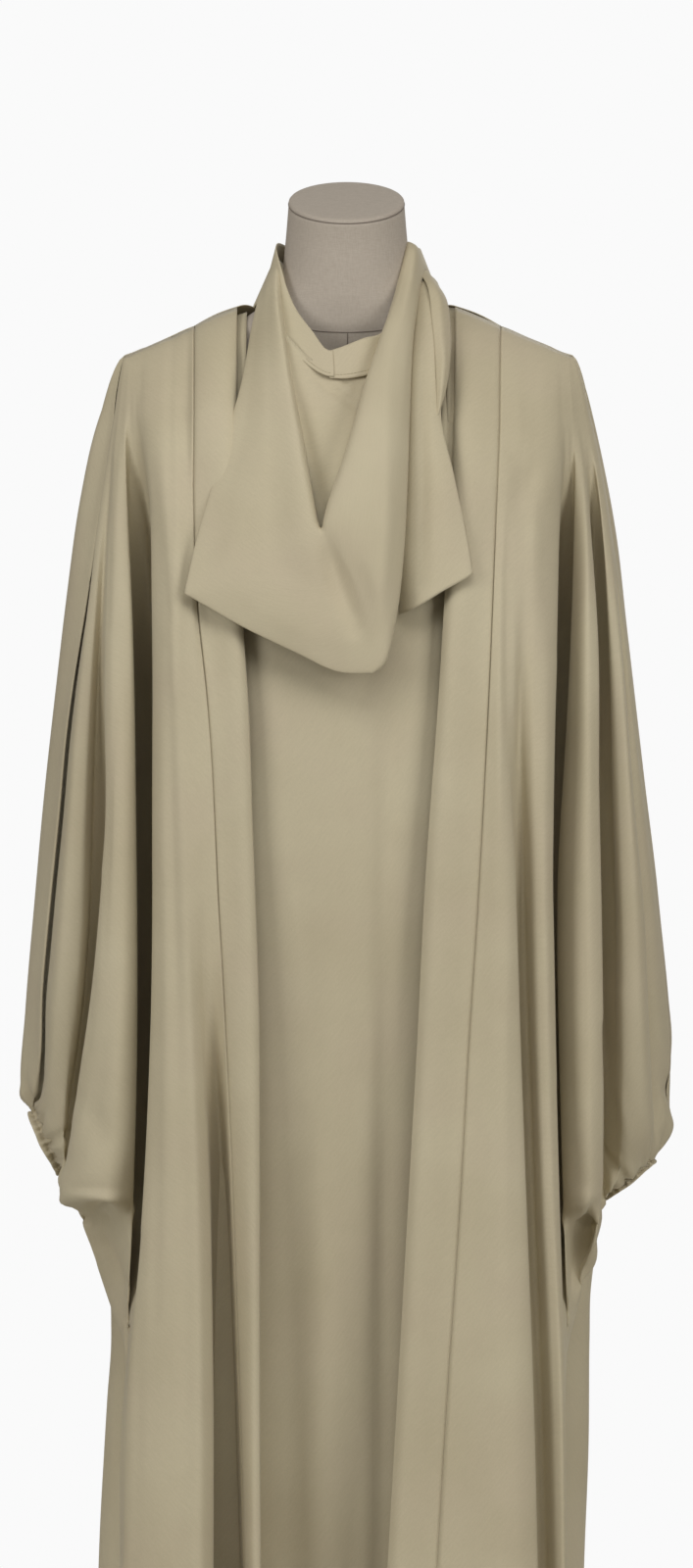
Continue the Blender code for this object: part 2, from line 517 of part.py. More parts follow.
def build_cloak(material):
    steps = 2
    left_lines = list(LEFT_FRONT.values())
    right_lines = list(RIGHT_FRONT.values())
    back_lines = (left_lines[-1:] + list(LEFT_BACK.values()) + [CENTRE_BACK]
                  + list(RIGHT_BACK.values()) + right_lines[-1:])
    fronts = {
        "left": grid_through(left_lines, CLOAK_ROWS, steps,
                             {len(left_lines) - 1: CUFFS["left"]}, -1.0),
        "right": grid_through(right_lines, CLOAK_ROWS, steps,
                              {len(right_lines) - 1: CUFFS["right"]}, -1.0)}
    back = grid_through(back_lines, CLOAK_ROWS, steps,
                        {0: CUFFS["left"], len(back_lines) - 1: CUFFS["right"]}, 1.0)
    for place in back[0]:
        place.y = max(place.y, 0.0)
    for side, next_column, turn in (("left", 1, 1.0), ("right", -2, -1.0)):
        front = fronts[side]
        normals = surface_normals(front, turn, after=column_of(back, next_column))
        ridge_normals(normals, front)
        last = len(front[0]) - 1
        for name, first, end in (("cloak_band_", 0, steps), ("cloak_front_", steps, last)):
            piece = columns_between(front, first, end)
            inset_edges(piece, left=first > 0)
            part_along_ridge(piece, -SEAM, (-1,) if end == last else ())
            wall(name + side, piece, [row[first:end + 1] for row in normals], material)
    normals = surface_normals(back, 1.0, before=column_of(fronts["left"], -2),
                              after=column_of(fronts["right"], -2))
    ridge_normals(normals, back)
    sewn = len(LEFT_BACK) * steps - steps
    build_back_band(back[0][sewn:-sewn], material)
    middle = len(back[0]) // 2
    for side, first, end, arm in (("left", 0, middle, 0), ("right", middle, len(back[0]) - 1, -1)):
        piece = columns_between(back, first, end)
        inset_edges(piece)
        part_along_ridge(piece, SEAM, (arm,))
        wall("cloak_back_" + side, piece, [row[first:end + 1] for row in normals], material)


def build_back_band(seam, material):
    """Band behind the neck, between its seam on the cloak's back and the neck edge."""
    neck_edge = [place * BACK_BAND_IN + BACK_BAND_RISE for place in seam]
    grid = [[edge.lerp(sewn, t) for edge, sewn in zip(neck_edge, seam)]
            for t in (0.0, 0.5, 1.0)]
    normals = surface_normals(grid, 1.0)
    for row in normals:
        row[0] = Vector((0.0, 0.0, 1.0))
        row[-1] = Vector((0.0, 0.0, 1.0))
    for row in grid:
        row[0].y += SEAM
        row[-1].y += SEAM
    for place in grid[-1]:
        place.z += SEAM
        place.y -= SEAM
    wall("cloak_neck_band", grid, normals, material)


def build_cuff(name, cuff, material):
    """Short gathered ring on the sleeve's end, a little wavy round its outer edge."""
    centre = Vector(cuff["centre"])
    axis = Vector(cuff["faces"]).normalized()
    sideways = Vector((0.0, 1.0, 0.0))
    upward = axis.cross(sideways).normalized()
    stations = ((CUFF_CLEAR, 0.0), (CUFF_CLEAR + CUFF_LENGTH * 0.5, -0.0030),
                (CUFF_CLEAR + CUFF_LENGTH, 0.0015))
    grid = []
    for along, swell in stations:
        ring = []
        for side in range(CUFF_SIDES):
            angle = 2.0 * math.pi * side / CUFF_SIDES
            gather = 0.0008 * (side % 2) + swell
            radius = CUFF_RADIUS + gather
            ring.append(centre + axis * along + sideways * (radius * math.sin(angle))
                        + upward * (radius * math.cos(angle)))
        grid.append(ring)
    normals = [[(place - (centre + axis * (place - centre).dot(axis))).normalized()
                for place in ring] for ring in grid]
    wall(name, grid, normals, material, ring=True)


# ---- under-dress -----------------------------------------------------------
def build_under_dress(material):
    for piece, depth_column, lean in (("under_front", 2, -1.0), ("under_back", 3, 1.0)):
        half = []
        for line in reversed(UNDER_LINES.values()):
            half.append(tuple((row[0], row[1], row[depth_column]) for row in line))
        mirrored = [tuple((z, -x, y) for z, x, y in line) for line in half]
        grid = grid_through(mirrored + list(reversed(half[:-1])), UNDER_ROWS, 1)
        normals = surface_normals(grid, lean)
        for r, row in enumerate(grid):
            normals[r][0] = Vector((-1.0, 0.0, 0.0))
            normals[r][-1] = Vector((1.0, 0.0, 0.0))
            row[0].y += lean * SEAM
            row[-1].y += lean * SEAM
        wall(piece, grid, normals, material)
    for side, sign in (("left", -1.0), ("right", 1.0)):
        flip = Vector((sign, 1.0, 1.0))
        grid = [[place * flip for place in row] for row in edge_to_edge(STRAP, 2, 2, 0.0)]
        wall("under_strap_" + side, grid, surface_normals(grid, sign * -1.0), material)


# ---- collar ----------------------------------------------------------------
def edge_to_edge(table, across_steps, along_steps, bulge):
    """Grid whose rows go from the table's first edge to its second."""
    firsts = smooth_row([Vector(pair[0]) for pair in table.values()], along_steps)
    seconds = smooth_row([Vector(pair[1]) for pair in table.values()], along_steps)
    grid = []
    for step in range(across_steps + 1):
        t = step / across_steps
        lift = bulge * math.sin(math.pi * t)
        grid.append([first.lerp(second, t) + Vector((0.0, -lift, 0.0))
                     for first, second in zip(firsts, seconds)])
    return grid


def build_collar(material):
    loop = list(NECKBAND.values())
    closed = loop[-1:] + loop + loop[:2]
    tops = smooth_row([Vector(pair[0]) for pair in closed], 3)[3:-3]
    lows = smooth_row([Vector(pair[1]) for pair in closed], 3)[3:-3]
    tops.pop()
    lows.pop()
    grid = [[top.lerp(low, t) for top, low in zip(tops, lows)] for t in (0.0, 0.5, 1.0)]
    normals = [[Vector((place.x, place.y, 0.02)).normalized() for place in row] for row in grid]
    wall("neckband", grid, normals, material, ring=True)

    pieces = (("collar_bib", BIB, 5, 2, -1.0, 0.014),
              ("collar_drape", DRAPE, 6, 2, -1.0, 0.0),
              ("collar_fall", FALL, 4, 2, 1.0, 0.0),
              ("collar_back", COLLAR_BACK, 4, 2, 1.0, 0.0))
    for name, table, across_steps, along_steps, turn, bulge in pieces:
        grid = edge_to_edge(table, across_steps, along_steps, bulge)
        wall(name, grid, surface_normals(grid, turn), material)


# ---- dress form and stand --------------------------------------------------
def form_ring(section):
    height, half_width, front, back = section
    ring = []
    for side in range(FORM_SIDES):
        angle = 2.0 * math.pi * side / FORM_SIDES
        depth = front if math.sin(angle) < 0 else back
        x = half_width * math.cos(angle)
        y = depth * math.sin(angle)
        lean = 0.0
        if height > 1.5:
            lean = y * math.tan(NECK_TILT) * (height - 1.5) / 0.04
        ring.append(Vector((x, y, height + lean)))
    return ring


def build_form(linen):
    mesh = bmesh.new()
    rings = [[mesh.verts.new(place) for place in form_ring(section)]
             for section in FORM_SECTIONS]
    for lower, upper in zip(rings, rings[1:]):
        for side in range(FORM_SIDES):
            after = (side + 1) % FORM_SIDES
            mesh.faces.new((lower[side], lower[after], upper[after], upper[side]))
    mesh.faces.new(list(reversed(rings[0])))
    mesh.faces.new(rings[-1])
    add_object("form_torso", mesh, linen)

    mesh = bmesh.new()
    top = FORM_SECTIONS[-1]
    crown = []
    for share, rise in ((1.0, SEAM), (1.0, 0.004), (0.94, 0.009), (0.6, CAP_HEIGHT)):
        ring = form_ring((top[0], top[1] * share, top[2] * share, top[3] * share))
        crown.append([mesh.verts.new(place + Vector((0.0, 0.0, rise))) for place in ring])
    for lower, upper in zip(crown, crown[1:]):
        for side in range(FORM_SIDES):
            after = (side + 1) % FORM_SIDES
            mesh.faces.new((lower[side], lower[after], upper[after], upper[side]))
    mesh.faces.new(list(reversed(crown[0])))
    mesh.faces.new(crown[-1])
    add_object("form_cap", mesh, linen)


def turned(name, profile, sides, material):
    """Solid of revolution from (radius, height) rows, closed at both ends."""
    mesh = bmesh.new()
    rings = []
    for radius, height in profile:
        rings.append([mesh.verts.new((radius * math.cos(2 * math.pi * side / sides),
                                      radius * math.sin(2 * math.pi * side / sides), height))
                      for side in range(sides)])
    for lower, upper in zip(rings, rings[1:]):
        for side in range(sides):
            after = (side + 1) % sides
            mesh.faces.new((lower[side], lower[after], upper[after], upper[side]))
    mesh.faces.new(list(reversed(rings[0])))
    mesh.faces.new(rings[-1])
    return add_object(name, mesh, material)


def build_stand(steel):
    base = ((BASE_RADIUS, 0.0), (BASE_RADIUS, BASE_HEIGHT * 0.6),
            (BASE_RADIUS - 0.012, BASE_HEIGHT))
    turned("stand_base", base, 36, steel)
    pole_top = FORM_SECTIONS[0][0] - SEAM
    flange = 0.030
    pole = ((flange, BASE_HEIGHT + SEAM), (flange, BASE_HEIGHT + 0.012),
            (POLE_RADIUS, BASE_HEIGHT + 0.020), (POLE_RADIUS, pole_top - 0.012),
            (flange, pole_top - 0.006), (flange, pole_top))
    turned("stand_pole", pole, 20, steel)


def main():
    clear_scene()
    crepe = finish_material("crepe_cloth", CREPE, 0.78, 0.0)
    linen = finish_material("linen_cover", LINEN, 0.92, 0.0)
    steel = finish_material("brushed_steel", STEEL, 0.35, 1.0)
    build_form(linen)
    build_stand(steel)
    build_under_dress(crepe)
    build_cloak(crepe)
    build_collar(crepe)
    for side, cuff in CUFFS.items():
        build_cuff("cuff_" + side, cuff, crepe)


main()
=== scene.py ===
import math

import bmesh
import bpy
import numpy as np
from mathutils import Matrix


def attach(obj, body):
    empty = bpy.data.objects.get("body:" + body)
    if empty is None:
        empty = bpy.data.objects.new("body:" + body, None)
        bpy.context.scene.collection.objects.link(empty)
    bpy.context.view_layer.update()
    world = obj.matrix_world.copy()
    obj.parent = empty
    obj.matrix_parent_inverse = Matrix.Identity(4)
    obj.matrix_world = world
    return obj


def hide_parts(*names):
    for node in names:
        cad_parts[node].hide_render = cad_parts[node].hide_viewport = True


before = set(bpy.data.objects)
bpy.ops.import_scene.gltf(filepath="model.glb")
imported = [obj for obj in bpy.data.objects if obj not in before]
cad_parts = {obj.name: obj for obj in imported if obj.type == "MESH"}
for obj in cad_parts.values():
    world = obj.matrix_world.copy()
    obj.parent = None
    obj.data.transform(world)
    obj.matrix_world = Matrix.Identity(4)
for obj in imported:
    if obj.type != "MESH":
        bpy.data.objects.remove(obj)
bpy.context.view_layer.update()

mm = 0.001
clothWall = 0.9 * mm      # crepe with its turned edges
weldDistance = 0.001 * mm


# camera, light and floor
view = {
    "distance": 8.0,          # far back, so near and far folds keep one scale
    "rise": 1.0,              # degrees above the level
    "aimHeight": 0.9893,
    "seenHeight": 1.52,       # what the camera takes in from top to bottom
    "filmWidth": 36.0,
    # softboxes: place, target, size, watts
    "left": ((-2.55, -2.5, 2.05), (0.0, -0.1, 1.1), (1.5, 2.0), 46.0),
    "right": ((2.55, -2.5, 2.05), (0.0, -0.1, 1.1), (1.5, 2.0), 46.0),
    "top": ((0.0, -2.2, 3.2), (0.0, -0.1, 1.2), (1.8, 1.2), 31.0),
    "back": ((0.8, 3.2, 2.4), (0.0, 0.0, 0.9), (2.6, 2.0), 40.0),
    "skyStrength": 0.18, "sky": "#F6EEE2",
    "backdrop": "#FAFAFA",
    "floor": "#E9E8E5", "floorRadius": 1.25,
}


def linearColor(code):
    # sRGB hex to linear
    parts = [int(code[i:i + 2], 16) / 255.0 for i in (1, 3, 5)]
    return tuple(p / 12.92 if p <= 0.04045 else ((p + 0.055) / 1.055) ** 2.4 for p in parts) + (1.0,)


def aimAt(thing, place, target):
    # turns an object's -Z to the target
    ahead = np.array(target) - np.array(place)
    thing.location = place
    thing.rotation_euler = (math.atan2(math.hypot(ahead[0], ahead[1]), -ahead[2]), 0.0,
                            math.atan2(ahead[1], ahead[0]) - math.pi / 2.0)


def addSoftbox(name, place, target, size, power):
    data = bpy.data.lights.new(name, "AREA")
    data.shape = "RECTANGLE"
    data.size, data.size_y = size
    data.energy = power
    box = bpy.data.objects.new(name, data)
    aimAt(box, place, target)
    box.visible_camera = False
    bpy.context.scene.collection.objects.link(box)


def setStage():
    scene = bpy.context.scene
    scene.view_settings.view_transform = "Standard"
    lens = bpy.data.cameras.new("frontCamera")
    camera = bpy.data.objects.new("frontCamera", lens)
    scene.collection.objects.link(camera)
    rise = math.radians(view["rise"])
    reach = view["distance"]
    aim = (0.0, 0.0, view["aimHeight"])
    aimAt(camera, (0.0, -reach * math.cos(rise), aim[2] + reach * math.sin(rise)), aim)
    lens.sensor_width = view["filmWidth"]
    lens.lens = view["filmWidth"] * reach / view["seenHeight"]
    scene.camera = camera
    for name in ("left", "right", "top", "back"):
        addSoftbox(name + "Light", *view[name])

    # the camera sees a white studio, the cloth gets a softer share of it
    world = bpy.data.worlds.new("studio")
    scene.world = world
    world.use_nodes = True
    tree = world.node_tree
    tree.nodes.clear()
    seen = addNode(tree, "ShaderNodeBackground", {}, {"Color": linearColor(view["backdrop"])})
    lit = addNode(tree, "ShaderNodeBackground", {},
                  {"Color": linearColor(view["sky"]), "Strength": view["skyStrength"]})
    path = addNode(tree, "ShaderNodeLightPath")
    mix = addNode(tree, "ShaderNodeMixShader", {},
                  {"Fac": path.outputs["Is Camera Ray"], 1: lit.outputs["Background"],
                   2: seen.outputs["Background"]})
    addNode(tree, "ShaderNodeOutputWorld", {}, {"Surface": mix.outputs["Shader"]})

    mesh = bmesh.new()
    bmesh.ops.create_circle(mesh, cap_ends=True, radius=view["floorRadius"], segments=96)
    data = bpy.data.meshes.new("floor")
    mesh.to_mesh(data)
    mesh.free()
    floor = bpy.data.objects.new("floor", data)
    scene.collection.objects.link(floor)
    data.materials.append(newMaterial("mattePaintedFloor", view["floor"], 0.9)[0])


# materials
def newMaterial(name, color, roughness, metallic=0.0):
    material = bpy.data.materials.new(name)
    material.use_nodes = True
    tree = material.node_tree
    shader = tree.nodes["Principled BSDF"]
    shader.inputs["Base Color"].default_value = linearColor(color)
    shader.inputs["Roughness"].default_value = roughness
    shader.inputs["Metallic"].default_value = metallic
    return material, tree, shader


def addNode(tree, kind, settings=None, inputs=None):
    # settings are the node's own, inputs are values or sockets that feed it
    node = tree.nodes.new(kind)
    for key, value in (settings or {}).items():
        setattr(node, key, value)
    for key, value in (inputs or {}).items():
        if isinstance(value, bpy.types.NodeSocket):
            tree.links.new(value, node.inputs[key])
        else:
            node.inputs[key].default_value = value
    return node


def setRamp(ramp, stops):
    for element, (position, color) in zip(ramp.elements, stops):
        element.position = position
        element.color = linearColor(color)


crepe = {
    "light": "#C3B99D", "dark": "#B8AD91", "warm": "#BEB198",
    "mottle": 5.0,            # soft patches, this many to the metre
    "rib": 1.9 * mm,          # twill ribs are 0.6 mm apart, too fine to show, so drawn coarser
    "ribLength": 16.0 * mm,
    "grain": 1.6 * mm,
    "ribDepth": 0.16 * mm,
    "roughness": 0.70, "sheen": 0.16,
}


def threadHeight(tree, spacing, length, angle):
    # uneven ribs along one way of the cloth; the piece's own map is in metres
    uv = addNode(tree, "ShaderNodeUVMap", {"uv_map": "cloth"})
    turn = addNode(tree, "ShaderNodeMapping", {},
                   {"Vector": uv.outputs["UV"], "Rotation": (0.0, 0.0, math.radians(angle))})
    run = addNode(tree, "ShaderNodeMapping", {},
                  {"Vector": turn.outputs["Vector"], "Scale": (1.0 / spacing, 1.0 / length, 1.0)})
    return addNode(tree, "ShaderNodeTexNoise", {}, {"Vector": run.outputs["Vector"], "Scale": 1.0,
                                                   "Detail": 2.0, "Roughness": 0.6})


def makeCrepe():
    # polyester crepe twill, woven and pressed: matt, smooth, a faint lustre on the turns
    material, tree, shader = newMaterial("crepeTwillWovenPressed", crepe["light"], crepe["roughness"])
    place = addNode(tree, "ShaderNodeTexCoord")
    patches = addNode(tree, "ShaderNodeTexNoise", {},
                      {"Vector": place.outputs["Object"], "Scale": crepe["mottle"], "Detail": 3.0,
                       "Roughness": 0.55})
    tone = addNode(tree, "ShaderNodeValToRGB", {}, {"Fac": patches.outputs["Fac"]})
    setRamp(tone.color_ramp, ((0.34, crepe["dark"]), (0.68, crepe["light"])))
    warm = addNode(tree, "ShaderNodeTexNoise", {},
                   {"Vector": place.outputs["Object"], "Scale": crepe["mottle"] * 2.6, "Detail": 2.0})
    share = addNode(tree, "ShaderNodeMapRange", {},
                    {"Value": warm.outputs["Fac"], "From Min": 0.45, "From Max": 0.75,
                     "To Min": 0.0, "To Max": 0.5})
    mixed = addNode(tree, "ShaderNodeMix", {"data_type": "RGBA"},
                    {"Factor": share.outputs["Result"], "A": tone.outputs["Color"]})
    mixed.inputs["B"].default_value = linearColor(crepe["warm"])
    ribs = threadHeight(tree, crepe["rib"], crepe["ribLength"], 34.0)
    slub = threadHeight(tree, crepe["grain"], crepe["grain"] * 1.6, 0.0)
    both = addNode(tree, "ShaderNodeMath", {"operation": "ADD"},
                   {0: ribs.outputs["Fac"], 1: slub.outputs["Fac"]})
    shade = addNode(tree, "ShaderNodeMapRange", {},
                    {"Value": both.outputs["Value"], "From Min": 0.6, "From Max": 1.4,
                     "To Min": 0.945, "To Max": 1.035})
    tinted = addNode(tree, "ShaderNodeVectorMath", {"operation": "MULTIPLY"},
                     {0: mixed.outputs["Result"], 1: shade.outputs["Result"]})
    bump = addNode(tree, "ShaderNodeBump", {},
                   {"Height": both.outputs["Value"], "Strength": 0.5, "Distance": crepe["ribDepth"]})
    tree.links.new(tinted.outputs["Vector"], shader.inputs["Base Color"])
    tree.links.new(bump.outputs["Normal"], shader.inputs["Normal"])
    shader.inputs["Sheen Weight"].default_value = crepe["sheen"]
    shader.inputs["Sheen Roughness"].default_value = 0.45
    shader.inputs["Sheen Tint"].default_value = (1.0, 0.96, 0.86, 1.0)
    shader.inputs["Specular IOR Level"].default_value = 0.28
    return material


linen = {
    "base": "#B3A99D", "light": "#B2A89B", "dark": "#A99F92", "roughness": 0.9, "sheen": 0.1,
    # threads to the metre along x, y and z: slubs that run across, and slubs that run down
    "slubs": ((180.0, 180.0, 900.0), (800.0, 800.0, 150.0)),
    "slubDepth": 0.25 * mm,
}


def makeLinen():
    # linen cover, plain woven and stretched: dry, with slubs in both directions
    material, tree, shader = newMaterial("linenPlainWovenCover", linen["base"], linen["roughness"])
    place = addNode(tree, "ShaderNodeTexCoord")
    slubs = []
    for squeeze in linen["slubs"]:
        run = addNode(tree, "ShaderNodeMapping", {}, {"Vector": place.outputs["Object"],
                                                      "Scale": squeeze})
        slubs.append(addNode(tree, "ShaderNodeTexNoise", {},
                             {"Vector": run.outputs["Vector"], "Scale": 1.0, "Detail": 2.0}))
    height = addNode(tree, "ShaderNodeMath", {"operation": "ADD"},
                     {0: slubs[0].outputs["Fac"], 1: slubs[1].outputs["Fac"]})
    half = addNode(tree, "ShaderNodeMath", {"operation": "MULTIPLY"},
                   {0: height.outputs["Value"], 1: 0.5})
    tone = addNode(tree, "ShaderNodeValToRGB", {}, {"Fac": half.outputs["Value"]})
    setRamp(tone.color_ramp, ((0.35, linen["dark"]), (0.65, linen["light"])))
    bump = addNode(tree, "ShaderNodeBump", {},
                   {"Height": height.outputs["Value"], "Strength": 0.55, "Distance": linen["slubDepth"]})
    tree.links.new(tone.outputs["Color"], shader.inputs["Base Color"])
    tree.links.new(bump.outputs["Normal"], shader.inputs["Normal"])
    shader.inputs["Sheen Weight"].default_value = linen["sheen"]
    shader.inputs["Specular IOR Level"].default_value = 0.2
    return material


# seams: the form's seam thread, coloured darker than the cover as painted shade of the sunk seam
threads = {"roughness": 0.7, "twist": 1400.0, "depth": 0.1 * mm, "stitches": "#A89D80",
           "seams": "#776D63"}
steel = {"color": "#C9C6C1", "roughness": 0.34, "smooth": 0.26, "rough": 0.44,
         "lines": (30.0, 30.0, 1800.0)}


def makeThread(name, color):
    # polyester sewing thread, twisted and sunk in its seam: a thin soft line; the form's seam thread is
    # drawn darker than its cover, as painted shade of the sunk seam
    material, tree, shader = newMaterial(name, color, threads["roughness"])
    place = addNode(tree, "ShaderNodeTexCoord")
    twist = addNode(tree, "ShaderNodeTexNoise", {},
                    {"Vector": place.outputs["Object"], "Scale": threads["twist"], "Detail": 1.0})
    bump = addNode(tree, "ShaderNodeBump", {},
                   {"Height": twist.outputs["Fac"], "Strength": 0.6, "Distance": threads["depth"]})
    tree.links.new(bump.outputs["Normal"], shader.inputs["Normal"])
    return material


def makeSteel():
    # steel tube and plate, brushed and clear coated: satin, fine turned lines
    material, tree, shader = newMaterial("steelBrushed", steel["color"], steel["roughness"], 1.0)
    place = addNode(tree, "ShaderNodeTexCoord")
    run = addNode(tree, "ShaderNodeMapping", {}, {"Vector": place.outputs["Object"],
                                                  "Scale": steel["lines"]})
    lines = addNode(tree, "ShaderNodeTexNoise", {}, {"Vector": run.outputs["Vector"], "Scale": 1.0,
                                                    "Detail": 3.0})
    rough = addNode(tree, "ShaderNodeMapRange", {},
                    {"Value": lines.outputs["Fac"], "To Min": steel["smooth"], "To Max": steel["rough"]})
    tree.links.new(rough.outputs["Result"], shader.inputs["Roughness"])
    return material


# shapes through fold lines
def slopesOf(values, step):
    # slope at each of the values, from the chords on both sides of it
    chords = np.diff(values, axis=0) / step
    slopes = np.empty_like(values)
    slopes[1:-1] = (chords[:-1] * step[1:] + chords[1:] * step[:-1]) / (step[:-1] + step[1:])
    slopes[0], slopes[-1] = chords[0], chords[-1]
    return slopes


def curveBetween(t, width, first, last, firstSlope, lastSlope):
    # t runs from 0 to 1 between two values that lie one width apart
    t2, t3 = t * t, t * t * t
    return (first * (2 * t3 - 3 * t2 + 1) + firstSlope * width * (t3 - 2 * t2 + t)
            + last * (3 * t2 - 2 * t3) + lastSlope * width * (t3 - t2))


def smoothAlong(knots, values, at):
    # smooth curve through values at rising knots, read at the wanted knots
    step = np.diff(knots)[:, None]
    slopes = slopesOf(values, step)
    index = np.clip(np.searchsorted(knots, at, side="right") - 1, 0, len(knots) - 2)
    width = step[index]
    t = np.clip((at[:, None] - knots[index][:, None]) / width, 0.0, 1.0)
    return curveBetween(t, width, values[index], values[index + 1], slopes[index], slopes[index + 1])


drop = {
    "top": 1433 * mm, "blend": 1200 * mm,
    "shoulderRound": 0.6,     # under 1, so cloth leaves the shoulder level and then falls
    # row heights: finer round the cuffs
    "rows": ((1433, 44), (1230, 84), (712, 78), (470, 52), (35, 1)),
}


def rowHeights(table):
    # (height in mm, rows to the next height) from the top down
    heights = []
    for (upper, count), below in zip(table, table[1:]):
        heights.extend(np.linspace(upper, below[0], count, endpoint=False))
    return np.array(heights + [table[-1][0]]) * mm


def linePlaces(rows, heights):
    # one fold line at every row; above the blend height the rows lean to the line's own top
    table = np.array(rows, dtype=float) * mm
    top = table[0, 0]
    share = (heights - drop["blend"]) / (drop["top"] - drop["blend"])
    at = np.where(heights > drop["blend"], drop["blend"] + (top - drop["blend"]) * share, heights)
    flat = smoothAlong(table[::-1, 0], table[::-1, 1:], at)
    first = at > table[1, 0]
    fall = np.clip((top - at) / (top - table[1, 0]), 0.0, 1.0) ** drop["shoulderRound"]
    straight = table[0, 1:] + (table[1, 1:] - table[0, 1:]) * fall[:, None]
    flat = np.where(first[:, None], straight, flat)
    return np.column_stack([flat, at])


def acrossLines(lines, pitch):
    # lines: rows x lines x 3. Smooth run across them, about one place for each pitch
    lines = lines.swapaxes(0, 1)
    gaps = np.maximum(np.linalg.norm(np.diff(lines, axis=0), axis=2), 1e-5)[..., None]
    slopes = slopesOf(lines, gaps)
    parts = []
    ends = [0]
    for i, gap in enumerate(gaps):
        steps = int(np.clip(round(float(np.percentile(gap, 80)) / pitch), 2, 16))
        for k in range(steps):
            parts.append(curveBetween(k / steps, gap, lines[i], lines[i + 1], slopes[i], slopes[i + 1]))
        ends.append(ends[-1] + steps)
    parts.append(lines[-1])
    return np.stack(parts, axis=1), ends      # places, and the column of each line


def outwardOf(places):
    # unit normals that point away from the upright axis
    normals = np.cross(np.gradient(places, axis=1), np.gradient(places, axis=0))
    normals /= np.maximum(np.linalg.norm(normals, axis=2, keepdims=True), 1e-9)
    side = np.sum(normals[..., :2] * places[..., :2])
    return normals if side >= 0 else -normals


def pressFolds(places, folds):
    # folds: top x, top z, low x, low z, width, depth in mm, and lean (0 even, 1 sharp on its left)
    flat = places[..., (0, 2)]
    moved = np.zeros(places.shape[:2])
    for x0, z0, x1, z1, width, depth, lean in folds:
        start = np.array([x0, z0]) * mm
        along = np.array([x1, z1]) * mm - start
        length = np.linalg.norm(along)
        along /= length
        away = flat - start
        run = away @ along / length
        side = away[..., 0] * along[1] - away[..., 1] * along[0]     # positive on the fold's left
        narrow = np.where(side * np.sign(lean if lean else 1.0) > 0, 1.0 - 0.65 * abs(lean), 1.0)
        ends = np.clip(run, 0.0, 1.0)
        past = (run - ends) * length
        fade = np.sin(np.pi * np.clip(0.12 + 0.76 * ends, 0.0, 1.0)) ** 0.8
        reach = (side / (width * mm * narrow)) ** 2 + (past / (width * mm)) ** 2
        moved += depth * mm * fade * np.exp(-reach)
    return places - outwardOf(places) * moved[..., None]


def gridMesh(places):
    # a grid of the operator's, moved onto the places
    rows, columns = places.shape[:2]
    mesh = bmesh.new()
    bmesh.ops.create_grid(mesh, x_segments=columns - 1, y_segments=rows - 1, size=0.5)
    mesh.verts.ensure_lookup_table()
    for vertex, place in zip(mesh.verts, places.reshape(-1, 3)):
        vertex.co = place
    return mesh


def layMap(mesh, across, down):
    # lengths along the cloth, in metres, one for each place
    layer = mesh.loops.layers.uv.new("cloth")
    for face in mesh.faces:
        for loop in face.loops:
            index = loop.vert.index
            loop[layer].uv = (across[index], down[index])


def sheetMesh(name, places, material):
    mesh = gridMesh(places)
    across = np.linalg.norm(np.diff(places, axis=1, prepend=places[:, :1]), axis=2).cumsum(axis=1)
    down = np.linalg.norm(np.diff(places, axis=0, prepend=places[:1]), axis=2).cumsum(axis=0)
    layMap(mesh, across.ravel(), -down.ravel())
    mesh.normal_update()
    outward = outwardOf(places)[:-1, :-1].reshape(-1, 3)
    total = sum(f.normal.x * outward[f.index, 0] + f.normal.y * outward[f.index, 1]
                for f in mesh.faces)
    if total < 0.0:
        bmesh.ops.reverse_faces(mesh, faces=mesh.faces)
    return finishPiece(name, mesh, material, clothWall)


def placePiece(name, data, material, wall=0.0):
    data.materials.append(material)
    data.shade_smooth()
    piece = bpy.data.objects.new(name, data)
    bpy.context.scene.collection.objects.link(piece)
    if wall:
        thick = piece.modifiers.new("wall", "SOLIDIFY")
        thick.thickness = wall
        thick.offset = -1.0
    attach(piece, "root")
    return piece


def finishPiece(name, mesh, material, wall=0.0):
    data = bpy.data.meshes.new(name)
    mesh.to_mesh(data)
    mesh.free()
    return placePiece(name, data, material, wall)


def layCord(name, runs, radius, material):
    # thin cords through places, made a mesh
    curve = bpy.data.curves.new(name, "CURVE")
    curve.dimensions = "3D"
    curve.bevel_depth = radius
    curve.bevel_resolution = 1
    curve.use_fill_caps = True
    for run in runs:
        spline = curve.splines.new("POLY")
        spline.points.add(len(run) - 1)
        for point, place in zip(spline.points, run):
            point.co = (*place, 1.0)
    carrier = bpy.data.objects.new(name + "Curve", curve)
    data = bpy.data.meshes.new_from_object(carrier)
    bpy.data.objects.remove(carrier)
    data.name = name
    data.materials.clear()
    return placePiece(name, data, material)


def seamDip(places, column, depth):
    # the cloth turns in at a seam, so two pieces meet in a fine groove
    normals = outwardOf(places)
    beside = column + 1 if column >= 0 else column - 1
    for index, share in ((column, 1.0), (beside, 0.25)):
        places[:, index] -= normals[:, index] * depth * share
    return places


def undercut(edge, across, deeper, toward, share, start, full, lowFull, lowEnd):
    # a line tucked behind its edge, in mm; above start and below lowEnd it lies on the way to
    # the next edge, at this share of the distance, so the cloth closes smoothly
    return {"edge": edge, "offset": (across, deeper), "toward": toward, "share": share,
            "fade": (start, full, lowFull, lowEnd)}


def easeBetween(value, low, high):
    t = np.clip((value - low) / (high - low), 0.0, 1.0)
    return t * t * (3.0 - 2.0 * t)


def tuckedPlaces(rule, plain, heights):
    start, full, lowFull, lowEnd = (v * mm for v in rule["fade"])
    fade = easeBetween(-heights, -start, -full) * easeBetween(heights, lowEnd, lowFull)
    edge, other = plain[rule["edge"]], plain[rule["toward"]]
    moved = edge + (other - edge) * (rule["share"] * (1.0 - fade))[:, None]
    moved[:, :2] += np.array(rule["offset"]) * mm * fade[:, None]
    return moved


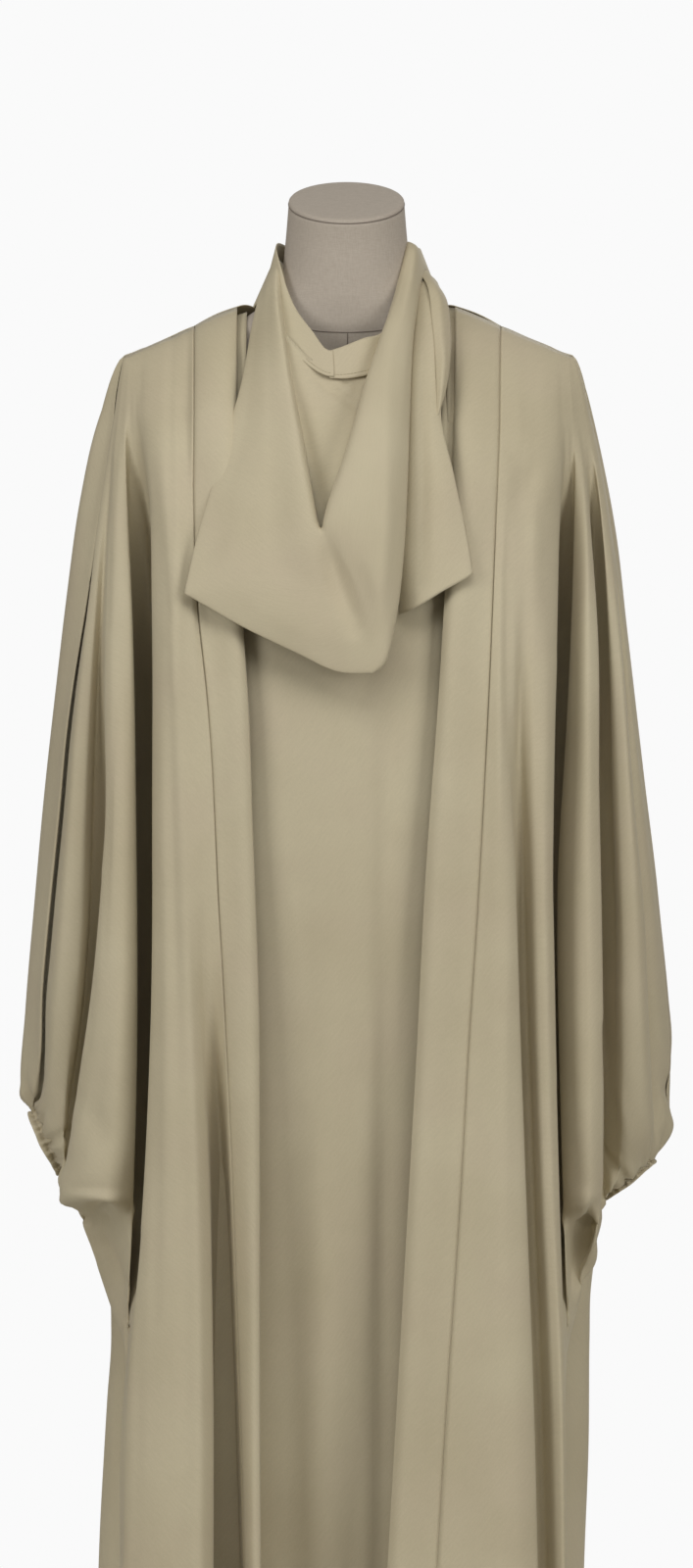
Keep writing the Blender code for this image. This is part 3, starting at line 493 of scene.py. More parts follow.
# cloak
# fold lines in mm: height, across (+ is to the viewer's right), depth (- is to the front)
leftFront = {
    "bandEdge": ((1451, -106, 0), (1361, -105, -82), (1250, -101, -128), (1141, -98, -145),
        (1067, -93, -150), (952, -89, -155), (776, -83, -162), (611, -82, -169), (400, -82, -178),
        (231, -81, -185), (35, -79, -191)),
    "bandRoll": ((1450, -109, 0), (1361, -108, -85), (1250, -104, -131), (1141, -101, -148),
        (1067, -96, -153), (952, -92, -158), (776, -86, -165), (611, -85, -172), (400, -85, -180),
        (231, -84, -187), (35, -82, -193)),
    "bandSeam": ((1433, -148, 0), (1360, -147, -79), (1256, -146, -122), (1166, -142, -138),
        (1079, -133, -147), (864, -121, -155), (611, -109, -156), (427, -103, -152), (231, -97, -154),
        (35, -91, -158)),
    "pleatWall": ((1430, -153, 0), (1350, -153, -78), (1200, -149, -134), (1000, -133, -151),
        (880, -126, -155), (780, -121, -152), (611, -113, -134), (430, -107, -122), (231, -101, -118),
        (35, -95, -120)),
    "pleatFloor": ((1428, -158, 0), (1350, -158, -77), (1200, -154, -134.5), (1000, -139, -152),
        (880, -133, -156), (780, -128, -148), (611, -119, -116), (430, -113, -98), (231, -109, -92),
        (35, -105, -94)),
    "pleatBack": ((1425, -164, 0), (1350, -164, -76), (1200, -159, -135), (1000, -144, -153),
        (880, -139, -158), (780, -135, -151), (611, -127, -128), (430, -124, -110), (231, -124, -104),
        (35, -125, -106)),
    "pleatEdge": ((1423, -168, 0), (1350, -169, -74), (1200, -163, -135), (1000, -149, -154),
        (880, -144, -160), (780, -140, -158), (611, -133, -163), (430, -130, -174), (231, -130, -182),
        (35, -131, -188)),
    "pleatCrest": ((1421, -174, 0), (1350, -176, -72), (1200, -169, -134), (1000, -157, -155),
        (880, -152, -162), (780, -148, -166), (611, -142, -177), (430, -138, -187), (231, -138, -195),
        (35, -140, -201)),
    "panelDip": ((1417, -184, 0), (1350, -185, -67), (1200, -175, -130), (1000, -168, -151),
        (780, -161, -164), (611, -157, -176), (430, -158, -185), (231, -160, -192), (35, -162, -198)),
    "panelCrest": ((1413, -193, 0), (1350, -194, -60), (1200, -182, -121), (1000, -176, -146),
        (780, -174, -160), (611, -175, -171), (430, -181, -179), (231, -185, -186), (35, -188, -192)),
    "panelTurn": ((1411, -198, 0), (1350, -199, -54), (1250, -190, -95), (1153, -186, -114),
        (991, -185, -129), (754, -187, -142), (554, -196, -158), (440, -207, -160), (231, -213, -166),
        (35, -217, -172)),
    "panelSide": undercut("panelTurn", 8, 32, "lobeEdge", 0.15, 1390, 1080, 560, 440),
    "panelInside": undercut("panelTurn", 9, 90, "lobeEdge", 0.3, 1390, 1030, 560, 440),
    "gapFloor": undercut("panelTurn", 0, 170, "lobeEdge", 0.5, 1385, 980, 600, 440),
    "gapInside": undercut("lobeEdge", -8, 100, "panelTurn", 0.3, 1390, 1030, 560, 440),
    "lobeWall": undercut("lobeEdge", -5, 38, "panelTurn", 0.15, 1385, 1120, 560, 440),
    "lobeEdge": ((1406, -209, 0), (1350, -212, -42), (1250, -211, -80), (1150, -208, -106),
        (991, -204, -121), (754, -202, -124), (620, -205, -118), (560, -206, -98), (500, -209, -86),
        (440, -210.5, -98), (420, -212, -120), (231, -217, -128), (35, -221, -134)),
    "crestB": ((1405.5, -210.5, 0), (1350, -215, -38.5), (1250, -219, -80), (1100, -217, -114),
        (947, -214, -131), (793, -215, -136), (677, -219, -133), (606, -226, -130), (588, -229, -126),
        (576, -229, -80), (560, -227, -62), (500, -219, -60), (455, -213, -84), (420, -211.5, -108),
        (231, -216.5, -118), (35, -220.5, -124)),
    "lobeFace": ((1405.2, -211.5, 0), (1350, -217, -36), (1250, -224, -76), (1100, -224, -112),
        (947, -223, -131), (793, -231, -133), (677, -241, -124), (606, -250, -122), (592, -251, -116),
        (581, -246, -62), (560, -243, -44), (500, -228, -44), (460, -215, -74), (420, -211, -98),
        (231, -216, -108), (35, -220, -114)),
    "foldB": ((1405, -212, 0), (1350, -219.5, -33), (1250, -228, -70), (1100, -230, -106),
        (947, -230, -124), (839, -239, -126), (793, -244, -122), (724, -253, -112), (677, -261, -102),
        (637, -267, -93), (598, -275, -90), (588, -274, -84), (578, -259, -42), (560, -253, -34),
        (517, -238, -32), (477, -224, -48), (445, -212, -72), (420, -210, -90), (231, -215, -98),
        (35, -219, -104)),
    "foldBback": undercut("foldB", 8, 38, "troughA", 0.5, 1150, 940, 650, 600),
    "troughA": ((1404.8, -212.8, 0), (1350, -221.5, -29), (1250, -231, -58), (1150, -236, -70),
        (1050, -240, -68), (953, -243, -62), (854, -247, -54), (786, -252, -50), (724, -259, -48),
        (677, -267, -46), (637, -271, -46), (598, -273, -46), (578, -259, -36), (517, -239, -26),
        (477, -225, -34), (445, -211, -62), (420, -209, -82), (231, -214, -90), (35, -218, -96)),
    "riseA": ((1404.7, -213.1, 0), (1350, -223, -26), (1250, -234, -56), (1150, -242, -76),
        (1050, -248, -88), (953, -252, -96), (854, -255, -96), (786, -260, -92), (724, -266, -84),
        (690, -270, -76), (660, -272, -66), (637, -272, -58), (613, -270, -46), (598, -271, -40),
        (578, -258, -28), (517, -238.5, -18), (477, -225, -26), (445, -210.5, -54), (420, -208.5, -74),
        (231, -213.5, -82), (35, -217.5, -88)),
    "crestA": ((1404.5, -213.5, 0), (1350, -223.8, -21), (1250, -238, -50), (1150, -248, -72),
        (1050, -257, -86), (953, -264, -95), (854, -271, -95), (786, -277, -89), (724, -282, -78),
        (690, -284, -68), (675, -286, -60), (660, -284, -58), (644, -280, -54), (628, -275, -46),
        (613, -271, -32), (598, -270, -26), (578, -258, -16), (517, -238, -8), (477, -225, -18),
        (445, -210, -46), (420, -208, -66), (231, -213, -74), (35, -217, -80)),
    "overarm": ((1404, -214.5, 0), (1378, -220, -8), (1335, -225, -18), (1284, -232, -31),
        (1253, -236, -38), (1181, -245, -52), (1139, -252, -58), (1039, -265, -68), (960, -272, -72),
        (880, -280, -70), (826, -285, -66), (786, -289, -60), (725, -291, -48), (700, -293, -38),
        (685, -297, -24), (675, -302, -6), (613, -272, -5), (598, -269, -6), (578, -257, -4),
        (517, -237.5, 2), (477, -225, -10), (445, -209.5, -38), (420, -207.5, -58), (231, -212.5, -66),
        (35, -216.5, -72)),
}
rightFront = {
    "facing": undercut("bandEdge", -12, 3, "bandRoll", -0.4, 1500, 1446, 1290, 1230),
    "facingGroove": undercut("bandEdge", -1.5, 9, "bandRoll", -0.2, 1500, 1446, 1290, 1230),
    "bandEdge": ((1451, 106, 0), (1360, 104, -82), (1276, 101, -122), (1178, 95, -142), (1080, 89, -149),
        (899, 76, -157), (741, 68, -164), (635, 62, -168), (440, 51, -176), (231, 39, -184),
        (35, 28, -191)),
    "bandRoll": ((1450, 109, 0), (1360, 107, -85), (1276, 104, -125), (1178, 98, -145), (1080, 92, -152),
        (899, 79, -160), (741, 71, -167), (635, 65, -171), (440, 54, -179), (231, 42, -187),
        (35, 31, -194)),
    "bandSeam": ((1433, 150, 0), (1333, 147, -94), (1205, 141, -136), (1134, 138, -145), (1010, 132, -153),
        (864, 124, -159), (741, 116, -164), (611, 109, -169), (400, 95, -177), (231, 85, -184),
        (35, 75, -190)),
    "panelCrest": ((1428, 162, 0), (1333, 160, -90), (1220, 149, -133), (1134, 146, -147),
        (1043, 146, -156), (922, 150, -163), (800, 153, -168), (611, 158, -176), (400, 166, -184),
        (231, 170, -190), (35, 174, -195)),
    "panelFold": ((1426, 166, 0), (1333, 165, -88), (1220, 153, -131), (1134, 152, -143), (1043, 153, -150),
        (922, 159, -156), (800, 163, -160), (611, 169.5, -167), (400, 177, -175), (231, 181, -181),
        (35, 185, -186)),
    "troughWall": undercut("panelFold", -5, 30, "panelTwo", 0.3, 1120, 760, 30, 0),
    "troughFloor": undercut("panelFold", 7, 40, "panelTwo", 0.6, 1200, 800, 30, 0),
    "panelTwo": ((1416, 190, 0), (1333, 190, -74), (1220, 180, -121), (1134, 180, -132), (1043, 178, -138),
        (922, 180, -141), (800, 182, -145), (611, 188, -151), (400, 197, -157), (231, 201, -163),
        (35, 204, -169)),
    "panelTurn": ((1410, 203, 0), (1343, 203, -58), (1219, 195, -106), (1134, 192, -125), (1043, 190, -136),
        (952, 188.5, -141), (846, 189.5, -145), (611, 196, -152), (400, 204.5, -160), (231, 206, -166),
        (35, 209, -172)),
    "panelEdge": ((1409, 206, 0), (1343, 208, -52), (1219, 204, -82), (1134, 202, -102),
        (1043, 198.5, -122), (952, 196.5, -130), (896, 196, -133), (846, 197, -134), (741, 199, -137),
        (588, 203, -142), (454, 207, -150), (231, 210, -156), (35, 213, -162)),
    "panelSide": undercut("panelEdge", -8, 34, "lobeEdge", 0.15, 1360, 1110, 560, 450),
    "panelInside": undercut("panelEdge", -10, 100, "lobeEdge", 0.3, 1355, 1060, 560, 450),
    "gapFloor": undercut("panelEdge", 6, 165, "lobeEdge", 0.5, 1350, 1000, 600, 450),
    "gapInside": undercut("lobeEdge", 12, 100, "panelEdge", 0.3, 1355, 1060, 560, 450),
    "lobeWall": undercut("lobeEdge", 8, 36, "panelEdge", 0.15, 1360, 1110, 560, 450),
    "lobeEdge": ((1406, 212, 0), (1343, 218, -42), (1219, 219, -62), (1134, 216, -68), (1013, 209.5, -72),
        (952, 205.5, -76), (896, 203, -80), (846, 202.5, -84), (741, 204, -92), (588, 208.5, -98),
        (520, 210.5, -92), (470, 212, -104), (431, 210, -120), (400, 209, -130), (231, 210.5, -138),
        (35, 213, -144)),
    "crestA": ((1405.5, 213.5, 0), (1343, 221, -38), (1219, 231, -72), (1134, 232, -94), (1013, 233, -110),
        (846, 233, -121), (741, 233, -125), (659, 234, -124), (612, 234, -118), (584, 229, -113),
        (566, 220, -84), (540, 219.5, -73), (518, 218, -76), (470, 214, -98), (431, 209.5, -108),
        (400, 208.5, -120), (231, 210, -130), (35, 212.5, -136)),
    "foldA": ((1405, 214.5, 0), (1343, 225, -33), (1219, 236, -62), (1134, 240, -86), (983, 241, -104),
        (861, 243, -112), (659, 245, -112), (612, 245, -104), (586, 243, -100), (564, 240, -98),
        (545, 237, -92), (528, 233, -86), (513, 228, -80), (490, 223, -72), (460, 215, -82),
        (431, 209, -96), (400, 208, -110), (231, 209.5, -120), (35, 212, -126)),
    "foldAback": undercut("foldA", -7, 30, "riseB", 0.25, 1340, 1130, 640, 545),
    "floorB": undercut("foldA", 2, 74, "riseB", 0.5, 1340, 1110, 640, 530),
    "floorBside": undercut("foldA", 13, 58, "riseB", 0.75, 1340, 1110, 640, 530),
    "riseB": ((1404.5, 216, 0), (1343, 231, -26), (1219, 249, -54), (1134, 256, -68), (983, 261, -80),
        (861, 264, -86), (750, 266, -86), (680, 266, -78), (650, 265, -68), (629, 263, -58),
        (605, 258, -44), (586, 240, -22), (564, 239, -18), (528, 234, -18), (500, 225, -30),
        (460, 214, -48), (431, 207.5, -66), (400, 206.5, -80), (231, 208, -92), (35, 210.5, -98)),
    "crestB": ((1404.3, 216.5, 0), (1343, 233.5, -22), (1219, 253, -50), (1134, 261, -66), (983, 271, -82),
        (861, 278, -87), (750, 283, -84), (680, 285, -74), (650, 284, -64), (629, 279, -54),
        (605, 267, -43), (586, 239.5, -15), (564, 238, -11), (528, 233, -11), (500, 224, -24),
        (460, 213.5, -42), (431, 207, -60), (400, 206, -74), (231, 207.5, -86), (35, 210, -92)),
    "foldB": ((1404.2, 217, 0), (1343, 235.5, -16), (1219, 256, -42), (1134, 264, -56), (964, 277, -72),
        (861, 286, -74), (770, 290, -70), (695, 294, -58), (657, 296, -48), (629, 289, -40),
        (605, 270, -39), (586, 239, -10), (564, 237, -6), (528, 232, -6), (500, 223, -20), (460, 213, -38),
        (431, 206.5, -56), (400, 205.5, -70), (231, 207, -82), (35, 209.5, -88)),
    "foldBback": undercut("foldB", -7, 28, "strip", 0.5, 1240, 1060, 690, 630),
    "strip": ((1404, 217.7, 0), (1343, 236.3, -10.5), (1219, 258, -24), (1134, 267, -31), (964, 283, -36),
        (861, 294, -35), (770, 299, -32), (720, 304, -24), (695, 306, -18), (657, 308, -16),
        (640, 304, -14), (629, 297, -14), (605, 267.5, -38.2), (586, 238, -5), (564, 235.5, -1),
        (528, 230.5, -1), (500, 221.5, -15), (460, 212, -31), (431, 205.5, -49), (400, 204.5, -63),
        (231, 206, -75), (35, 208.5, -81)),
    "overarm": ((1404, 218, 0), (1373, 229, -4), (1313, 243, -8), (1219, 259, -11), (1134, 270, -12),
        (1058, 277, -12), (989, 287, -10), (892, 299, -8), (785, 311, -6), (741, 314, -4), (712, 314, -3),
        (690, 310.5, -2), (672, 314, 0), (657, 317, 0), (643, 311, 0), (629.5, 297.5, -4), (588, 242.5, -4),
        (564, 235, 1), (528, 230, 1), (500, 221, -12), (460, 211.5, -28), (431, 205, -46), (400, 204, -60),
        (231, 205.5, -72), (35, 208, -78)),
}
backLines = {
    "leftStrip": ((1403.5, -213.5, 1), (1378, -219, -2), (1335, -222, -6), (1253, -231, -22),
        (1181, -240, -34), (1039, -259, -50), (960, -267, -54), (880, -275, -53), (786, -284, -46),
        (725, -287, -34), (695, -292, -20), (675, -301, -3), (613, -272, -5), (598, -268, 0),
        (578, -255, 0), (540, -236, -8), (517, -226, -14), (490, -214, -24), (460, -205, -42),
        (394, -200, -70), (231, -202, -86), (35, -205, -92)),
    "leftGroove": ((1403.6, -213.8, 1), (1378, -220.3, -3), (1335, -225.2, -10), (1253, -236.4, -26),
        (1181, -246, -39), (1039, -266.5, -55), (960, -273.5, -60), (880, -281.5, -59), (786, -290.5, -50),
        (725, -292.5, -37), (695, -296.5, -21), (675, -303, -3), (613, -272.2, -4), (598, -269, 2),
        (578, -257, 3), (540, -241, -3), (517, -232, -8), (490, -220, -15), (460, -211, -25),
        (394, -207, -42), (231, -209, -52), (35, -212, -56)),
    "leftLip": ((1403.7, -214.2, 1), (1378, -221, -7), (1335, -226, -17), (1253, -237.6, -36),
        (1181, -247.4, -50), (1039, -269, -66), (960, -276.2, -70), (880, -284.4, -68), (786, -292.8, -58),
        (725, -295, -44), (695, -299, -24), (675, -304, -3), (613, -272.4, 0), (598, -270, 4),
        (578, -258.5, 6), (540, -244, 1), (517, -236, -3), (490, -225, -8), (460, -218, -14),
        (394, -217, -24), (231, -222, -30), (35, -225, -34)),
    "leftFlat": ((1403.8, -214.6, 1.5), (1378, -224, -4), (1335, -230, -12), (1253, -244, -27),
        (1181, -255, -38), (1039, -274.5, -50), (960, -282.5, -54), (880, -291, -52), (786, -299, -42),
        (725, -302, -30), (695, -306, -16), (675, -305, -1), (640, -288, 30), (613, -272.8, 8),
        (598, -271, 6), (578, -259.3, 8), (540, -246, 6), (517, -237.5, 4), (490, -227, -2),
        (460, -222, -8), (394, -225, -16), (231, -230, -22), (35, -233, -26)),
    "leftArm": ((1404, -215, 2), (1352, -236, 0), (1267, -255, -8), (1167, -269, -16), (1096, -278, -18),
        (996, -290, -18), (873, -302, -14), (770, -311, -8), (700, -315, -2), (684, -314, 2),
        (674, -306, 10), (660, -299, 26), (644, -290, 36), (628, -281, 32), (613, -273.5, 16),
        (598, -272, 8), (578, -260, 10), (540, -247, 12), (517, -238, 12), (490, -228, 4), (460, -225, -2),
        (394, -230, -6), (321, -234, -8), (231, -237, -10), (35, -240, -12)),
    "leftSleeve": ((1408, -206, 2), (1350, -222, 34), (1200, -247, 62), (1000, -268, 70), (800, -290, 58),
        (700, -297, 42), (660, -290, 46), (614, -270, 46), (540, -242, 46), (455, -224, 54),
        (231, -231, 60), (35, -235, 64)),
    "leftSleeveFold": ((1411, -199, 2), (1350, -211, 44), (1200, -228, 82), (1000, -244, 92),
        (800, -262, 86), (700, -268, 74), (614, -254, 72), (540, -230, 74), (455, -217, 86),
        (231, -219, 96), (35, -221, 100)),
    "leftCrease": ((1413, -193, 2), (1350, -202, 52), (1200, -213, 84), (1000, -222, 84), (800, -234, 78),
        (690, -236, 72), (540, -217, 90), (400, -208, 106), (231, -207, 114), (35, -208, 120)),
    "leftRoll": ((1422, -173, 2), (1350, -177, 74), (1200, -180, 122), (1000, -184, 146), (700, -186, 160),
        (400, -184, 172), (231, -186, 178), (35, -188, 184)),
    "leftDip": ((1433, -148, 5), (1350, -142, 88), (1200, -136, 130), (1000, -136, 138), (700, -138, 142),
        (400, -138, 150), (231, -140, 156), (35, -142, 162)),
    "leftBlade": ((1421, -94, 66), (1350, -90, 108), (1200, -86, 146), (1000, -86, 166), (700, -86, 182),
        (400, -88, 194), (231, -90, 200), (35, -92, 206)),
    "leftInner": ((1414, -46, 88), (1350, -44, 114), (1200, -42, 143), (1000, -44, 150), (700, -42, 158),
        (400, -42, 170), (231, -42, 176), (35, -42, 182)),
    "middle": ((1412, 0, 92), (1350, 0, 117), (1200, 3, 150), (1000, 5, 166), (700, 6, 178), (400, 5, 188),
        (231, 3, 194), (35, 2, 200)),
    "rightInner": ((1414, 46, 88), (1350, 44, 114), (1200, 44, 144), (1000, 46, 152), (700, 48, 156),
        (400, 48, 168), (231, 48, 174), (35, 48, 180)),
    "rightBlade": ((1421, 94, 66), (1350, 88, 108), (1200, 84, 148), (1000, 84, 170), (700, 86, 186),
        (400, 88, 198), (231, 90, 204), (35, 92, 210)),
    "rightDip": ((1433, 150, 5), (1350, 144, 88), (1200, 134, 128), (1000, 132, 136), (700, 132, 140),
        (400, 134, 148), (231, 136, 154), (35, 138, 160)),
    "rightRoll": ((1422, 176, 2), (1350, 181, 72), (1200, 182, 120), (1000, 180, 148), (700, 178, 164),
        (400, 178, 174), (231, 180, 180), (35, 182, 186)),
    "rightCrease": ((1412, 200, 2), (1350, 207, 50), (1200, 216, 84), (1000, 220, 86), (800, 230, 80),
        (690, 232, 74), (540, 215, 88), (400, 206, 106), (231, 204, 114), (35, 204, 120)),
    "rightSleeveFold": ((1410, 204, 2), (1350, 214, 42), (1200, 232, 80), (1000, 246, 90), (800, 262, 86),
        (700, 268, 76), (614, 252, 70), (540, 229, 72), (455, 217, 86), (231, 215, 96), (35, 214, 100)),
    "rightSleeve": ((1407.5, 210, 2), (1350, 225, 32), (1200, 250, 60), (1000, 271, 68), (800, 293, 60),
        (700, 300, 46), (650, 292, 48), (614, 266, 48), (540, 240, 48), (455, 227, 56), (231, 223, 62),
        (35, 221, 66)),
    "rightArm": ((1404, 219, 2), (1373, 230, 0), (1313, 244, -2), (1219, 260, -4), (1134, 271, -4),
        (989, 288, -2), (892, 300, 0), (785, 312, 4), (741, 315, 6), (704, 314, 8), (672, 314, 10),
        (657, 315, 12), (643, 309, 18), (629.5, 298, 22), (609, 272, 32), (588, 245, 14), (564, 243, 8),
        (528, 238, 6), (500, 233, 2), (455, 233, -2), (354, 233.5, -6), (231, 229, -8), (35, 226, -10)),
    "rightUnder": ((1403.7, 218, 1.5), (1373, 229.5, -0.5), (1313, 243.5, -3), (1219, 259.5, -5),
        (1134, 270.5, -6), (989, 287.5, -4), (892, 299.5, -2), (785, 311.5, 0), (741, 314, 3),
        (704, 314, 4), (672, 314, 6), (657, 316.5, 6), (643, 310, 8), (629.5, 298, 6), (609, 272, 14),
        (588, 243.5, 4), (564, 240, 1), (528, 234, -2), (500, 225, -7), (455, 218, -20), (354, 215, -36),
        (231, 212, -44), (35, 209, -48)),
    # close behind the front's edge down past the cuff, then under it
    "rightEdge": tuple((z, x, y + 0.6) for z, x, y in rightFront["overarm"][:17]) + (
        (564, 232, -8), (528, 222, -16), (500, 210, -28), (455, 200, -52), (354, 196, -78),
        (231, 195, -92), (35, 194, -98)),
}
cuffs = {
    "left": {"centre": (-287, -5, 644), "faces": (-0.900, 0.0, -0.436), "radius": 34,
             "end": 9.0, "loose": 0.3},
    "right": {"centre": (270, -4, 609), "faces": (0.600, 0.0, -0.800), "radius": 34,
              "end": 7.0, "loose": 0.25},
}
cloak = {
    "pitch": 2.6 * mm,
    "seamDepth": 1.4 * mm,
    "gathers": 13,            # folds that run out of each cuff
    "gatherDepth": 1.92 * mm,
    "gatherReach": 34 * mm,
    "gatherWaves": ((1.0, 1.0, 0.6), (0.55, 1.7, 2.1), (0.35, 0.6, 4.0)),    # share, rate, start
    "backCoarser": 1.35,      # the back is laid with wider places
    # neck band: its neck edge against the sewn one, its rise and how far it bows up
    "neckShare": (0.716, 0.850, 1.0), "neckRise": 19 * mm, "neckBow": 2.0 * mm, "neckSteps": 14,
}
# top x, top z, low x, low z, width, depth in mm, lean
leftFolds = (
    (-196, 1330, -172, 1150, 9, 3.0, 0.0), (-160, 1250, -163, 1080, 7, -2.2, 0.0),
    (-170, 1120, -160, 700, 6, 1.6, 0.0), (-178, 900, -182, 480, 7, 1.5, 0.0),
    (-152, 640, -150, 330, 7, 1.3, 0.0), (-196, 560, -200, 240, 6, 1.2, 0.0),
    (-236, 560, -214, 500, 5, 3.0, 0.4), (-226, 545, -212, 505, 3, 1.6, 0.0),
    (-250, 690, -224, 640, 12, 2.0, 0.0), (-228, 1300, -229, 1140, 4, 1.6, 0.0),
    (-244, 586, -226, 585, 4.5, 10.0, 0.0), (-236, 578, -228, 566, 5, 4.0, 0.0),
    (-222, 1060, -232, 820, 5, 1.6, 0.0), (-236, 900, -248, 740, 4, 1.8, 0.0),
    (-258, 800, -266, 690, 4, 2.0, 0.0), (-246, 700, -262, 640, 5, -1.8, 0.0),
)
rightFolds = (
    (166, 1300, 190, 1258, 11, 1.8, 0.0), (190, 1306, 166, 1264, 10, 1.4, 0.0),
    (160, 1320, 168, 1230, 10, 1.2, 0.0), (190, 1250, 196, 1120, 9, 1.6, 0.0),
    (157, 780, 158, 420, 8, 1.4, 0.0), (196, 700, 200, 380, 6, 1.2, 0.0),
    (226, 900, 229, 690, 6, 1.6, 0.0), (150, 1000, 146, 760, 6, 1.2, 0.0),
    (303, 730, 309, 690, 7, 3.0, 0.0), (236, 588, 224, 560, 5, 6.0, 0.6),
    (229, 566, 227, 516, 7, 14.0, 0.3), (262, 640, 268, 618, 4, 2.0, 0.0),
    (222, 569, 237, 566, 3.2, 8.0, 0.0), (250, 1000, 262, 800, 5, 1.6, 0.0),
    (246, 760, 262, 660, 6, 1.8, 0.0), (256, 720, 270, 650, 5, -1.6, 0.0),
)
backFolds = (
    (-60, 1330, -120, 1120, 12, 3.0, 0.0), (64, 1330, 122, 1100, 12, 3.0, 0.0),
    (-20, 1250, -30, 900, 14, 2.6, 0.0), (26, 1180, 24, 760, 12, 2.4, 0.0),
    (-112, 900, -118, 420, 10, 3.0, 0.0), (108, 980, 106, 520, 11, 2.8, 0.0),
    (-160, 760, -162, 300, 9, 2.0, 0.0), (156, 700, 154, 260, 9, 2.2, 0.0),
    (-246, 1180, -262, 820, 8, 3.0, 0.0), (248, 1150, 266, 840, 8, 3.0, 0.0),
    (-262, 760, -276, 680, 6, 3.0, 0.0), (262, 740, 268, 650, 6, 3.0, 0.0),
    (0, 620, -4, 140, 13, 2.6, 0.0), (-64, 560, -66, 120, 10, 2.2, 0.0),
    (66, 640, 68, 200, 10, 2.2, 0.0),
)


def cuffFrame(side):
    data = cuffs[side]
    axis = np.array(data["faces"])
    axis /= np.linalg.norm(axis)
    sideways = np.array([0.0, 1.0, 0.0])
    upward = np.cross(axis, sideways)
    return np.array(data["centre"]) * mm, axis, sideways, upward / np.linalg.norm(upward)


def openAtCuff(line, side, direction):
    # the overarm line runs round half of the elastic
    centre, axis = cuffFrame(side)[:2]
    radius = cuffs[side]["radius"] * mm
    fall = line[:, 2] - centre[2]
    rise = fall / (radius * abs(axis[0]))
    near = np.abs(rise) < 1.0
    reach = radius * np.sqrt(np.clip(1.0 - rise * rise, 0.0, 1.0))
    x = centre[0] - fall * axis[2] / axis[0]
    line[near, 0] = x[near]
    line[near, 1] = centre[1] + direction * reach[near]
    return line


def gatherNearCuff(places, side, normals):
    # folds that start at the elastic and die out up the sleeve
    centre, axis, sideways, upward = cuffFrame(side)
    away = places - centre
    turn = np.arctan2(away @ sideways, away @ upward)
    radius = np.linalg.norm(away - (away @ axis)[..., None] * axis, axis=-1)
    depth = -(away @ axis)
    far = np.sqrt(np.clip(radius - cuffs[side]["radius"] * mm, 0.0, None) ** 2
                  + np.clip(depth, 0.0, None) ** 2)
    wave = sum(share * np.sin(rate * cloak["gathers"] * turn + start)
               for share, rate, start in cloak["gatherWaves"])
    fade = np.exp(-(far / cloak["gatherReach"]) ** 1.3)
    return places + normals * (cloak["gatherDepth"] * wave * fade)[..., None]


def cloakLines(table, heights, cuffEnds, direction):
    plain = {name: linePlaces(rows, heights) for name, rows in table.items()
             if not isinstance(rows, dict)}
    lines = [plain[name] if name in plain else tuckedPlaces(rows, plain, heights)
             for name, rows in table.items()]
    for index, side in cuffEnds:
        lines[index] = openAtCuff(lines[index], side, direction)
    return np.stack(lines, axis=1)


def makeCloak(cloth):
    heights = rowHeights(drop["rows"])
    made = {}
    for side, table, folds in (("Left", leftFront, leftFolds), ("Right", rightFront, rightFolds)):
        key = side.lower()
        lines = cloakLines(table, heights, ((-1, key),), -1.0)
        places, columns = acrossLines(lines, cloak["pitch"])
        places = gatherNearCuff(places, key, outwardOf(places))
        places = pressFolds(places, folds)
        seam = columns[list(table).index("bandSeam")]
        band = seamDip(places[:, :seam + 1].copy(), -1, cloak["seamDepth"])
        front = seamDip(places[:, seam:].copy(), 0, cloak["seamDepth"])
        made["band" + side] = sheetMesh("cloakBand" + side, band, cloth)
        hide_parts("cloak_band_" + key)
        made["front" + side] = sheetMesh("cloakFront" + side, front, cloth)
        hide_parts("cloak_front_" + key)
    lines = cloakLines(backLines, heights, ((0, "left"), (-1, "right")), 1.0)
    places, columns = acrossLines(lines, cloak["pitch"] * cloak["backCoarser"])
    normals = outwardOf(places)
    for side in ("left", "right"):
        places = gatherNearCuff(places, side, normals)
    places = pressFolds(places, backFolds)
    middle = columns[list(backLines).index("middle")]
    for side, part, column in (("Left", places[:, :middle + 1], -1), ("Right", places[:, middle:], 0)):
        part = seamDip(part.copy(), column, cloak["seamDepth"])
        made["back" + side] = sheetMesh("cloakBack" + side, part, cloth)
        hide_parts("cloak_back_" + side.lower())
    # band behind the neck, from its seam on the back up to the neck edge
    first = columns[list(backLines).index("leftDip")]
    last = columns[list(backLines).index("rightDip")]
    sewn = places[0, first:last + 1]
    neckEdge = sewn * np.array(cloak["neckShare"]) + np.array([0.0, 0.0, cloak["neckRise"]])
    shares = np.linspace(0.0, 1.0, cloak["neckSteps"])
    band = np.stack([neckEdge + (sewn - neckEdge) * share for share in shares])
    band[..., 2] += (cloak["neckBow"] * np.sin(np.pi * shares))[:, None]
    made["neckBand"] = sheetMesh("cloakNeckBand", band, cloth)
    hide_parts("cloak_neck_band")
    return made


cuffShape = {
    "around": 264, "along": 30,
    "start": -10.0, "elastic": 3.0,     # mm along the cuff, out of the sleeve
    "elasticReach": 4.0,
    "puckers": 19,
    "size": 0.99, "waist": 0.09, "flare": 0.03,         # shares of the radius
    "pucker": 0.5, "waistPucker": 0.9,                  # mm
    "frill": 1.5, "frillSway": 1.2, "frillDrop": 0.5,   # mm, where the frill is loose
    "wall": 0.8 * mm,
    "aroundStep": 1.8 * mm, "alongStep": 1.3 * mm,      # cloth between two places, before it was gathered
}


